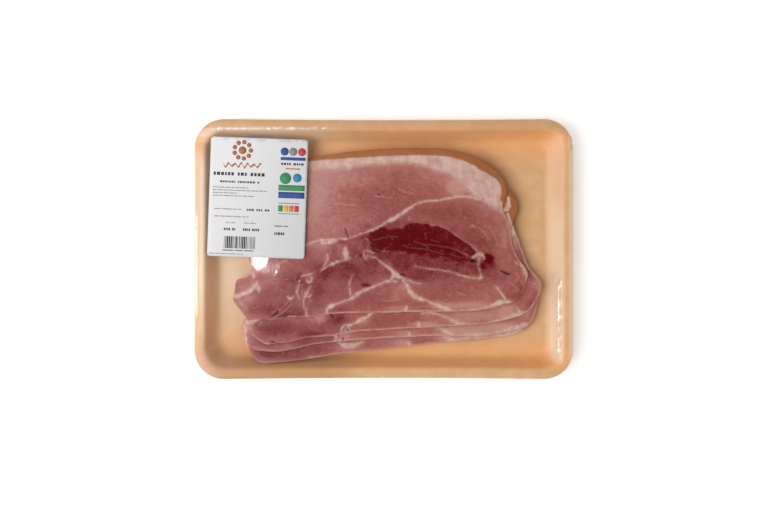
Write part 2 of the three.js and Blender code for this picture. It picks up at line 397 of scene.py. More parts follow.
def foam_material():
    """Peach foam with fine closed cells, with painted warm shade, painted light and painted shade where
    the points say so.
    """
    material, tree, place = new_material("foam")
    mottle = speckle(tree, place, 9, 3)
    cells = node(tree, "ShaderNodeTexVoronoi", {"Vector": place, "Scale": 900.0}).outputs["Distance"]
    grain = speckle(tree, place, 0.7, 3)
    colour = blended(tree, stepped(tree, mottle, 0.35, 0.7), srgb("dcad7e"), srgb("e3b88b"))
    # painted warm shade: the foam more orange where the walls lie in shade
    colour = blended(tree, times(tree, point_value(tree, "painted_warm_shade"), 0.55), colour, srgb("fcb16b"))
    # painted light and painted reflection: paler foam at the left end, the right wall and the right rim
    colour = blended(tree, point_value(tree, "painted_light"), colour, srgb("fcdfc3"))
    # painted shade and shadow: browner foam at the lower left, the upper rim and beside the rind
    colour = blended(tree, point_value(tree, "painted_shade"), colour, srgb("bf8a5c"))
    colour = blended(tree, times(tree, grain, 0.12), colour, srgb("c99a6c"))
    normal = bumped(tree, plus(tree, times(tree, cells, 0.5), grain), 0.25, 0.00012)
    roughness = stepped(tree, grain, 0.2, 0.8, 0.5, 0.68)
    return painted(material, tree, colour, roughness, Normal=normal, Specular_IOR_Level=0.35)


def meat_tone(tree, grains):
    """How dark the meat is, with the grains' variation."""
    tone = point_value(tree, "tone")
    for grain, amount in zip(grains, (0.34, 0.3, 0.26)):
        tone = plus(tree, tone, centred(tree, grain, amount))
    return tone


def fat_cover(tree, place, fine, coarse):
    """The share of fat, with frayed edges and thin places."""
    frayed = plus(tree, point_value(tree, "fat"), centred(tree, fine, 2.6))
    frayed = plus(tree, frayed, centred(tree, speckle(tree, place, 2.4, 2), 2.4))
    return times(tree, stepped(tree, frayed, -1.3, 2.0), stepped(tree, coarse, 0.3, 0.65, 0.76, 0.95))


def pale_cover(tree, place, fine, coarse):
    """The share of pale streaks and fine veins, weaker on the dark muscle."""
    veins = maths(tree, "ABSOLUTE", maths(tree, "SUBTRACT", speckle(tree, place, 11, 3), 0.5))
    veins = times(tree, stepped(tree, veins, 0.0, 0.02, 0.45, 0.0), stepped(tree, coarse, 0.45, 0.6))
    share = maths(tree, "MAXIMUM", point_value(tree, "pale"), veins)
    share = times(tree, share, stepped(tree, fine, 0.3, 0.7, 0.45, 0.85))
    return times(tree, share, stepped(tree, point_value(tree, "tone"), 0.7, 0.95, 1.0, 0.3))


def ham_material():
    """Meat, fat and rind, with a painted highlight along the cut edges and painted shade in the holes, by
    the values that each slice's points carry.
    """
    material, tree, place = new_material("ham")
    fine = speckle(tree, place, 0.9, 2)
    coarse = speckle(tree, place, 5, 4)
    fibres = speckle(tree, place, 1.2, 3, (0.35, 1, 1), math.radians(-65))
    tone = meat_tone(tree, (coarse, fibres, fine))
    fat = blended(tree, stepped(tree, coarse, 0.25, 0.75), srgb(FAT_DEEP), srgb(FAT_PALE))
    fat_share = fat_cover(tree, place, fine, coarse)
    colour = blended(tree, fat_share, ramp(tree, tone, MEAT_TONES), fat)
    colour = blended(tree, pale_cover(tree, place, fine, coarse), colour, srgb(PALE_MEAT))
    rind = blended(tree, coarse, srgb(RIND_DEEP), srgb(RIND_PALE))
    rind_share = stepped(tree, plus(tree, point_value(tree, "rind"), centred(tree, fine, 0.5)), -0.5, 0.5)
    colour = blended(tree, rind_share, colour, rind)
    # painted highlight over the fat skin: the pale line where each cut edge catches the light
    edge_share = times(tree, point_value(tree, "edge"), stepped(tree, coarse, 0.3, 0.6, 0.35, 0.95))
    edge_share = times(tree, edge_share, rest_of(tree, rind_share))
    edge_share = times(tree, edge_share, rest_of(tree, fat_share))
    colour = blended(tree, edge_share, colour, srgb(EDGE_FAT_AND_HIGHLIGHT))
    # painted shade inside the torn holes
    colour = blended(tree, point_value(tree, "hole"), colour, srgb(HOLE_PAINTED_SHADE))

    normal = bumped(tree, plus(tree, fine, times(tree, fibres, 1.2)), 0.5, 0.0002)
    roughness = stepped(tree, coarse, 0.3, 0.7, 0.36, 0.55)
    gloss = stepped(tree, tone, 0.6, 0.92, 0.32, 0.02)
    return painted(material, tree, colour, roughness, Normal=normal, Specular_IOR_Level=gloss,
                   Subsurface_Weight=0.15, Subsurface_Radius=(2.0, 0.7, 0.5), Subsurface_Scale=MM)


def film_material():
    """Clear film that mirrors more at a glancing angle, and most where the points say it is crinkled."""
    material, tree, place = new_material("stretch_film")
    crinkle = point_value(tree, "crinkle")
    ripple = speckle(tree, place, 16, 4, (1, 0.35, 1), math.radians(35))
    creases = times(tree, speckle(tree, place, 2.2, 2, (0.7, 0.3, 1)), crinkle)
    relief = plus(tree, times(tree, ripple, 0.12), times(tree, creases, 3.0))
    normal = bumped(tree, relief, 1.0, 0.0005)
    lobes = []
    for roughness in (0.03, 0.22):
        gloss = {"Color": (1, 1, 1, 1), "Roughness": roughness, "Normal": normal}
        lobes.append(node(tree, "ShaderNodeBsdfGlossy", gloss).outputs[0])
    glossy = node(tree, "ShaderNodeMixShader", {0: 0.7, 1: lobes[0], 2: lobes[1]}).outputs[0]
    clear = node(tree, "ShaderNodeBsdfTransparent", {"Color": (0.99, 0.99, 0.99, 1)}).outputs[0]
    facing = node(tree, "ShaderNodeLayerWeight", {"Blend": 0.5, "Normal": normal}).outputs["Facing"]
    share = times(tree, maths(tree, "POWER", facing, 5.0), 0.7)
    share = plus(tree, share, times(tree, crinkle, 0.3))
    share = plus(tree, share, FILM_HAZE)
    mixed = node(tree, "ShaderNodeMixShader", {0: share, 1: clear, 2: glossy}).outputs[0]
    return finished(material, tree, mixed)


def paper_material():
    """Coated label paper with a fine grain, and painted shade that makes it a little darker where the
    points say so.
    """
    material, tree, place = new_material("label_paper")
    grain = speckle(tree, place, 0.5, 3)
    colour = blended(tree, grain, srgb("e2e0e1"), srgb("ebe9ea"))
    colour = blended(tree, point_value(tree, "shade"), colour, srgb("cbcaca"))
    return painted(material, tree, colour, 0.45, Normal=bumped(tree, grain, 0.15, 0.00005))


def ink_material(name, colour):
    """Printed ink, a little uneven as a small printer lays it."""
    material, tree, place = new_material("ink_" + name)
    grain = speckle(tree, place, 0.4, 2)
    colour = blended(tree, times(tree, grain, 0.1), srgb(colour), srgb("d8d7da"))
    return painted(material, tree, colour, 0.5, Specular_IOR_Level=0.2)


def floor_material():
    """A matt white floor that glows a little, so that it stays pale."""
    material, tree, place = new_material("studio_floor")
    colour = blended(tree, speckle(tree, place, 60, 2), srgb("fbfbfb"), srgb("fdfdfd"))
    return painted(material, tree, colour, 0.9, Emission_Color=(1, 1, 1, 1), Emission_Strength=0.28)


# Meat from its palest tone (0) to its darkest (1), and the other colours of the ham
MEAT_TONES = [
    (0, "c08b82"), (0.15, "b77e76"), (0.3, "ad665f"), (0.45, "9d514c"), (0.6, "8e403b"),
    (0.75, "802d2e"), (0.88, "6e1518"), (1, "620305"),
]
FAT_PALE = "dfbfb1"
FAT_DEEP = "cba699"
PALE_MEAT = "cf998c"
RIND_PALE = "b57345"
RIND_DEEP = "9d5a30"
# the cut edges' pale line: fat skin with a painted highlight
EDGE_FAT_AND_HIGHLIGHT = "cf9d90"
# painted shade inside the torn holes
HOLE_PAINTED_SHADE = "3d0606"

# ---------------------------------------------------------------- marks on the slices

# Each mark is a line of photo pixels (u, v) with its half width in pixels there.
TOP_SEAMS = [
    # between the two large muscles, from the label to the right shoulder
    [(296, 250, 0.8), (304, 246, 0.9), (310, 243, 1.1), (317, 241, 1.2), (325, 240, 1.6),
     (335, 239, 1.0), (350, 238.5, 0.8), (357, 235, 0.9), (363, 233.5, 0.8), (370, 231, 0.9),
     (380, 226, 1.2), (390, 220.5, 1.7), (397, 216.5, 2.3), (403, 213, 2.4), (408, 209, 1.7),
     (414, 205, 1.4), (420, 202, 1.2), (430, 201, 1.1), (440, 200, 1.1), (450, 198, 1.1),
     (460, 196, 1.2), (470, 196.5, 1.4), (480, 199, 1.6)],
    [(322, 243, 2.2), (329, 242.5, 2.8), (336, 241, 1.2)],
    # round the small red muscle in the middle
    [(345.5, 248, 1.2), (345.5, 252, 3.0), (346, 256, 3.2), (348, 258.5, 1.4)],
    [(350, 258, 1.0), (340, 261, 1.4), (332, 264, 1.4), (325, 267.5, 1.0), (322, 270, 0.6)],
    # the long fork from the middle down to both ends
    [(367, 250.5, 0.5), (370, 251.7, 0.5), (374, 253.5, 0.1)],
    [(371, 257, 0.3), (375.5, 257.3, 0.6), (380, 261.5, 0.7), (385, 265.5, 0.9), (390, 268.5, 1.4),
     (394, 272, 2.6), (396, 275.5, 2.8), (401, 277.5, 1.2), (405, 279, 1.1), (410, 281, 1.1),
     (415, 283, 0.9), (421, 284, 0.5)],
    [(396, 274, 2.8), (393, 277, 2.0), (390.5, 280, 1.0)],
    [(397, 281.7, 0.9), (391, 281.4, 1.4), (386, 281.4, 1.3), (380, 284, 1.2), (373, 287, 1.1),
     (367, 289, 1.2), (360, 292.5, 1.4), (355, 296, 1.7), (350, 299.5, 1.4), (342, 302, 1.1),
     (335, 304.5, 1.6), (330, 306.5, 2.4), (327, 309.5, 2.0), (326.5, 313, 1.0)],
    [(350.5, 294.5, 0.9), (349.3, 287, 0.3), (350, 280, 0.1), (352.5, 275, 0.0)],
    [(403, 280.5, 1.2), (406.5, 284, 1.7), (408.5, 288, 1.4), (409.5, 291, 1.6), (412.5, 294.5, 2.8),
     (415.5, 297, 3.2), (419.5, 299, 2.0), (425, 299.7, 1.4), (430, 302, 1.4), (435, 304.5, 1.6),
     (440, 306.5, 2.6), (444.5, 308.5, 3.0), (451, 310.5, 1.8)],
    [(406.3, 306, 0.5), (406, 308.5, 1.5), (405, 310.5, 2.2)],
    # under the dark muscle
    [(415, 266, 0.0), (425, 268.5, 0.1), (435, 269.5, 0.2), (445, 271, 0.3), (450, 271.5, 0.5),
     (457, 274, 0.5), (465, 276.5, 0.7), (475, 278, 0.9), (482, 279, 1.1), (481, 275, 0.8),
     (480, 271, 0.5), (478.5, 266, 0.3), (478.5, 262, 0.3), (480, 258, 0.6)],
    [(473, 257.5, 1.1), (477, 254.5, 1.3), (480, 253.5, 1.3), (483.5, 255.5, 1.4), (484, 258.5, 1.0)],
    # the left end
    [(240, 295, 1.6), (246, 292.7, 2.6), (250, 291, 2.6), (253, 288, 2.2), (256, 284.5, 2.2),
     (257.5, 281, 0.9)],
    [(257, 284, 1.6), (259, 288, 2.0), (259, 291.5, 0.8)],
    [(231, 294, 2.4), (235, 297, 3.0), (239, 295.5, 2.2)],
    [(251, 262, 1.6), (252, 270, 1.3), (253.5, 277, 1.6)],
    # broken seams left of the middle
    [(302, 276, 0.4), (306, 275, 0.8), (311, 274, 0.9), (313.5, 273, 0.4)],
    [(311.5, 276, 0.5), (312, 280, 1.0), (308.5, 283, 1.2), (306.5, 280, 0.4)],
    [(310.5, 286, 0.4), (308.5, 290, 0.8), (306, 294, 1.4), (305, 297.5, 1.0), (303.3, 301, 0.6),
     (304, 308, 0.4)],
    [(307, 296, 0.9), (310, 297.5, 0.8), (311, 294.5, 0.3)],
    [(299.5, 281, 0.2), (298.5, 286, 0.4), (296.7, 291, 0.8), (297.5, 296, 0.9), (300, 299, 0.5)],
    [(288, 297, 1.0), (291, 298.5, 1.2), (293, 297, 0.4)],
    [(288.5, 316.3, 0.7), (295.5, 316.3, 0.6)],
    [(306, 309, 0.8), (306.5, 314, 1.0), (307, 319, 0.8)],
    [(327, 254, 0.5), (328, 260, 0.7), (324, 266, 0.8)],
    [(281, 262.5, 0.5), (286, 261, 0.6)],
    [(364, 251, 0.3), (363.8, 256, 0.5), (366, 259, 0.4), (368, 255.5, 0.3)],
    # the curl of fat on the shoulder
    [(499, 206, 0.8), (502.5, 210, 1.5), (506.5, 210.5, 2.0), (510, 206, 1.9), (511, 201, 1.4),
     (510, 197.5, 0.8)],
    # the right end
    [(495.5, 286, 0.7), (500, 291, 0.8), (504, 297.5, 1.1), (507, 301.5, 1.6)],
    [(466, 310.5, 0.5), (479, 309, 1.1), (488, 307, 1.8), (495, 304.5, 2.6), (500, 302.5, 3.0),
     (505, 301.5, 2.8), (511, 302, 1.2)],
    [(521, 263.5, 1.2), (523.5, 268, 2.6), (526, 272.5, 2.8), (526.5, 277, 1.2), (525.5, 282, 0.5)],
    [(515, 262, 1.2), (518, 264, 1.0)],
]
TOP_STREAKS = [
    # pale fibres in the dark muscle and along its upper edge
    [(373, 239.5, 0.4), (378, 240, 0.6), (382, 237.5, 0.7), (386, 237.8, 0.4)],
    [(387, 236.3, 0.4), (392, 236.5, 0.8), (398, 236.5, 0.5)],
    [(391, 237.5, 0.5), (392.5, 240, 0.4)],
    [(365.5, 238, 0.9), (368.5, 240.5, 0.5)],
    [(375, 248, 0.4), (378, 250.7, 0.7), (382, 251.2, 0.8), (388, 251.5, 0.4)],
    [(383.5, 250, 0.7), (388, 247.3, 0.5)],
    [(402, 245, 0.3), (406, 246.5, 0.6), (409, 247.5, 0.3)],
    [(415, 241.5, 0.4), (420, 243.5, 0.6), (424, 244.7, 0.8), (427.5, 246.5, 1.0), (428, 249, 0.9)],
    [(411, 248, 0.5), (416, 248.3, 0.7), (423, 249, 0.7), (428, 250, 0.7), (433, 251.2, 0.5),
     (439, 253.5, 0.7), (444, 254.5, 0.4)],
    [(431, 239.5, 0.4), (436, 241, 0.5), (441, 243, 0.3)],
    [(428, 244.5, 0.4), (436, 245.5, 0.6), (445, 246.8, 0.7), (450, 247.8, 0.6), (456, 249.5, 0.5),
     (461, 252, 0.8), (466, 254.5, 1.0), (470, 257, 1.1), (474, 257.5, 0.9)],
    [(440, 256.5, 0.6), (446, 258.5, 0.6), (452, 260, 0.3)],
    [(450, 254, 0.5), (456, 256, 0.5), (462, 258, 0.4)],
    [(425, 233, 0.4), (426, 236, 0.7), (426, 239, 0.4)],
    [(446, 236, 0.4), (447.5, 238, 0.6)],
    [(415, 222.3, 0.3), (422, 223, 0.4), (430, 223.7, 0.5), (440, 226, 0.5), (447, 229, 0.4),
     (456, 235, 0.6), (462, 239.5, 0.6), (468, 243.5, 0.4), (474, 247, 0.8), (477, 250.5, 1.0)],
    [(408, 216, 0.4), (409, 219, 0.6), (408.5, 221, 0.4)],
    # pale arcs and flecks in the pink muscles
    [(472, 225.5, 1.2), (475, 227, 0.9)],
    [(478, 228, 0.4), (483, 231, 0.6), (486, 234, 0.5), (488.5, 240, 0.4)],
    [(488, 226, 0.2), (493, 232, 0.4), (496, 239, 0.4), (498.5, 247, 0.4)],
    [(464, 217, 0.5), (467, 218.5, 0.6)],
    [(334, 203, 0.4), (341, 203.5, 0.7), (349, 205, 0.7), (358, 205, 0.4)],
    [(338.5, 196, 1.0), (341, 196.5, 0.6)],
    [(374, 196, 0.4), (381, 196.2, 0.9), (386, 197, 0.5), (392, 198, 0.3)],
    [(399, 188.5, 0.7), (402, 191, 0.6), (408, 193, 0.5), (413, 194, 0.4)],
    [(423, 177, 0.7), (428, 178.5, 0.6)],
    [(440, 174, 0.3), (447, 178, 0.5), (451, 184, 0.7), (456, 189, 0.4)],
    [(317, 201, 0.6), (318, 203, 0.5)],
    [(510, 282, 0.3), (514, 286, 0.7), (519, 290, 0.4)],
    [(516, 273, 0.5), (519, 277, 0.6), (522, 284, 0.5)],
    [(521, 271, 0.5), (522, 278, 0.5), (524, 285, 0.4)],
    [(457, 292, 0.5), (462, 294.5, 0.6), (466, 295, 0.4)],
    [(397, 300, 0.3), (388, 301, 0.4), (381, 300.5, 0.5)],
    [(294, 278, 0.3), (296.5, 283, 0.5), (296, 288, 0.3)],
    [(384, 311.3, 0.4), (395, 311.4, 0.6), (402, 311, 0.8), (410, 310.5, 0.6), (420, 310.3, 0.6),
     (430, 310.5, 0.7), (440, 311, 0.8), (450, 311, 0.6)],
    [(326, 262, 0.5), (331, 253, 0.3), (330, 247, 0.2)],
    [(290, 300, 0.2), (286, 304, 0.3), (281, 309, 0.4), (276, 313, 0.3)],
    [(292, 303, 0.2), (289, 307, 0.4), (284, 311, 0.5), (279, 315, 0.4), (273, 318, 0.4)],
    [(302.5, 284, 0.3), (302, 290, 0.5), (302.5, 297, 0.4)],
]
TOP_HOLES = [
    [(346, 228, 0.3), (347, 233, 0.7), (348.5, 238, 0.4)],
    [(411.5, 224, 0.4), (412.3, 227, 0.6)],
    [(473, 261, 1.4), (476.5, 261, 1.2)],
    [(501, 270.5, 0.8), (504, 272, 1.2), (508, 274, 0.8), (511, 273.3, 0.3)],
    [(360.5, 254.5, 0.8), (361, 256, 0.6)],
    [(263, 319, 0.6), (269, 321, 0.6)],
    [(272, 316, 0.5), (275, 314.5, 0.5), (278, 312, 0.9)],
    [(378.5, 194, 0.6), (380, 195, 0.4)],
    [(402, 274, 0.5), (406, 275.5, 0.7)],
]
# The dark muscle and the dull red below it: a polygon, the softness of its edge, and its tone
TOP_AREAS = [
    ([(374, 251), (392, 251), (410, 251), (440, 255), (470, 261), (480, 263), (481, 279), (466, 276.5),
      (446, 271), (416, 267), (402, 272), (394, 268), (385, 260)], 3.0, 0.76),
    ([(369, 233), (375, 229.5), (382, 227.5), (392, 227.5), (400, 226.5), (405, 225), (411, 223),
      (420, 223), (430, 224), (440, 226.5), (449, 230.5), (456, 235.5), (462, 240), (468, 244),
      (474, 248.5), (478, 253), (474, 259), (478, 264), (466, 262), (452, 260.5), (436, 258),
      (420, 254.5), (402, 251), (385, 250), (374, 252), (369, 246)], 2.0, 0.95),
    ([(371, 236), (374, 232), (380, 231), (393, 230.5), (404, 230), (415, 231.5), (428, 236), (436, 241),
      (446, 245), (452, 251), (440, 252), (420, 250), (402, 249), (388, 249), (374, 248)], 3.0, 1.25),
    ([(485, 253), (492, 253), (494, 258), (492, 264), (486, 264), (483, 259)], 2.5, 1.05),
    ([(452, 241), (461, 242), (470, 249), (470, 257), (462, 255), (454, 250)], 2.5, 0.84),
    ([(458, 267), (476, 269), (478, 276), (462, 273)], 2.5, 0.6),
]
# Soft spots of tone: u, v, reach across, reach down, turn in degrees, tone, strength
TOP_SPOTS = [
    (316, 192, 20, 44, 0, 0.06, 0.9), (350, 217, 22, 22, 0, 0.32, 0.7),
    (392, 202, 30, 20, 0, 0.52, 0.8), (432, 183, 24, 14, 0, 0.33, 0.8),
    (458, 184, 14, 12, 40, 0.02, 0.9), (345, 180, 34, 8, 0, 0.12, 0.7),
    (330, 228, 22, 10, 0, 0.24, 0.6), (445, 213, 32, 9, -5, 0.58, 0.9),
    (492, 224, 15, 18, 0, 0.38, 0.8), (504, 248, 9, 26, 0, 0.26, 0.8), (472, 234, 12, 10, 40, 0.6, 0.9),
    (492, 246, 12, 8, 60, 0.6, 0.7), (480, 244, 7, 8, 45, 0.74, 0.7), (485, 267, 7, 7, 0, 0.78, 0.8),
    (432, 276, 34, 6, 6, 0.74, 0.8), (402, 268, 18, 7, 12, 0.76, 0.8), (450, 292, 28, 10, 5, 0.48, 0.8),
    (485, 294, 18, 10, 0, 0.28, 0.7), (516, 295, 14, 10, 0, 0.46, 0.8), (506, 262, 12, 7, 0, 0.46, 0.8),
    (519, 279, 5, 8, 0, 0.5, 0.7), (350, 272, 24, 14, 0, 0.8, 0.9), (372, 268, 12, 9, 0, 0.7, 0.8),
    (344, 264, 14, 3.5, -20, 0.82, 0.8), (332, 291, 22, 12, -10, 0.56, 0.8),
    (316, 289, 8, 20, 5, 0.8, 0.8), (366, 285.5, 5.5, 2.3, -5, 1.0, 0.95),
    (372, 300, 28, 8, -8, 0.56, 0.85), (402, 292, 12, 11, 0, 0.22, 0.7),
    (425, 305, 14, 4, 0, 0.42, 0.9), (268, 272, 28, 9, -5, 0.34, 0.9), (266, 295, 24, 13, 0, 0.62, 0.9),
    (291, 284, 10, 16, 10, 0.72, 0.85), (300, 264, 14, 6, 0, 0.5, 0.8), (310, 257, 6, 6, 0, 0.56, 0.7),
    (286, 306, 18, 6, -20, 0.5, 0.8), (305, 314, 14, 5, 0, 0.62, 0.8), (258, 309, 18, 5, 10, 0.5, 0.7),
    (243, 283, 10, 7, 0, 0.3, 1.0), (247, 303, 12, 10, 20, 0.16, 0.9),
    (361, 244, 12, 10, 0, 0.78, 0.95), (378, 262, 12, 5, 30, 0.8, 0.8), (368, 264, 9, 6, 0, 0.74, 0.8),
    (392, 225, 15, 5, 18, 0.74, 0.85), (365, 236, 7, 5, 30, 0.84, 0.8), (280, 327, 22, 7, 0, 0.7, 0.5),
    (304, 284, 10, 14, 0, 0.78, 0.8), (288, 309, 18, 9, -20, 0.74, 0.85),
    (258, 306, 20, 7, 10, 0.6, 0.7), (315, 268, 8, 5, 0, 0.72, 0.7), (336, 267, 12, 4, 0, 0.78, 0.8),
    (487, 272, 12, 9, 0, 0.68, 0.7), (425, 270, 22, 5, 8, 0.82, 0.8), (470, 270, 12, 6, 10, 0.6, 0.7),
    (333, 250, 4.2, 6.5, 0, 0.66, 1.0), (320, 250, 8, 5, 0, 0.36, 0.6), (355, 244, 9, 6, 0, 0.5, 0.7),
    (358, 256, 8, 5, 0, 0.7, 0.8), (340, 310, 12, 5, 0, 0.66, 0.7), (376, 250, 7, 6, 0, 0.95, 0.9),
    (331, 268, 16, 6, -15, 0.8, 0.7), (360, 252, 12, 9, 0, 0.74, 0.6), (280, 314, 20, 5, 0, 0.72, 0.7),
    (290, 317, 12, 4, 0, 0.98, 0.9), (325, 275, 8, 7, 0, 0.9, 0.8), (298, 280, 5, 7, 0, 0.84, 0.8),
    (379, 258, 7, 4, 45, 0.9, 0.9), (394, 251, 7, 3, 10, 0.95, 0.9), (369, 228, 7, 4, -20, 0.66, 0.8),
    (343, 241.5, 6, 3, 0, 0.76, 0.9), (454, 229, 7, 5, 40, 0.64, 0.8), (502, 255, 5, 10, 0, 0.46, 0.8),
    (483, 266, 4.5, 4.5, 0, 0.95, 0.9), (462, 306, 28, 4, 0, 0.02, 0.9), (441, 305, 9, 4, 0, 0.06, 0.9),
    (445, 298, 12, 5, 10, 0.34, 0.7), (397, 308.5, 16, 3, 0, 0.12, 0.8), (262, 284, 9, 5, 0, 0.28, 0.8),
    (262, 310, 15, 4, 5, 0.76, 0.8), (417, 276, 12, 4, 8, 0.8, 0.6), (493, 266, 6, 4, 0, 0.8, 0.7),
    (310, 276, 7, 5, 0, 0.56, 0.6), (499, 277, 12, 5, 20, 0.52, 0.7),
]
# Pale soft spots: u, v, reach across, reach down, turn in degrees, strength
TOP_PALE = [
    (456, 186, 9, 12, 40, 0.9), (507, 228, 5, 22, -12, 0.45), (490, 306, 26, 4, -6, 0.55),
    (505, 214, 8, 7, 0, 0.7), (404, 287, 5, 6, 40, 0.45), (480, 303, 20, 4, -5, 0.35),
    (320, 246, 12, 3, -10, 0.4), (309, 279, 4, 6, 0, 0.35), (303, 293, 5, 6, 0, 0.25),
    (320, 314, 8, 5, 0, 0.3), (480, 256, 5, 3, 0, 0.5), (475, 277, 9, 2.5, 5, 0.5),
    (524, 270, 4, 6, 0, 0.5), (253, 268, 5, 10, 0, 0.5), (505, 262, 10, 4, 30, 0.2),
    (326, 260, 4, 7, 0, 0.35),
]

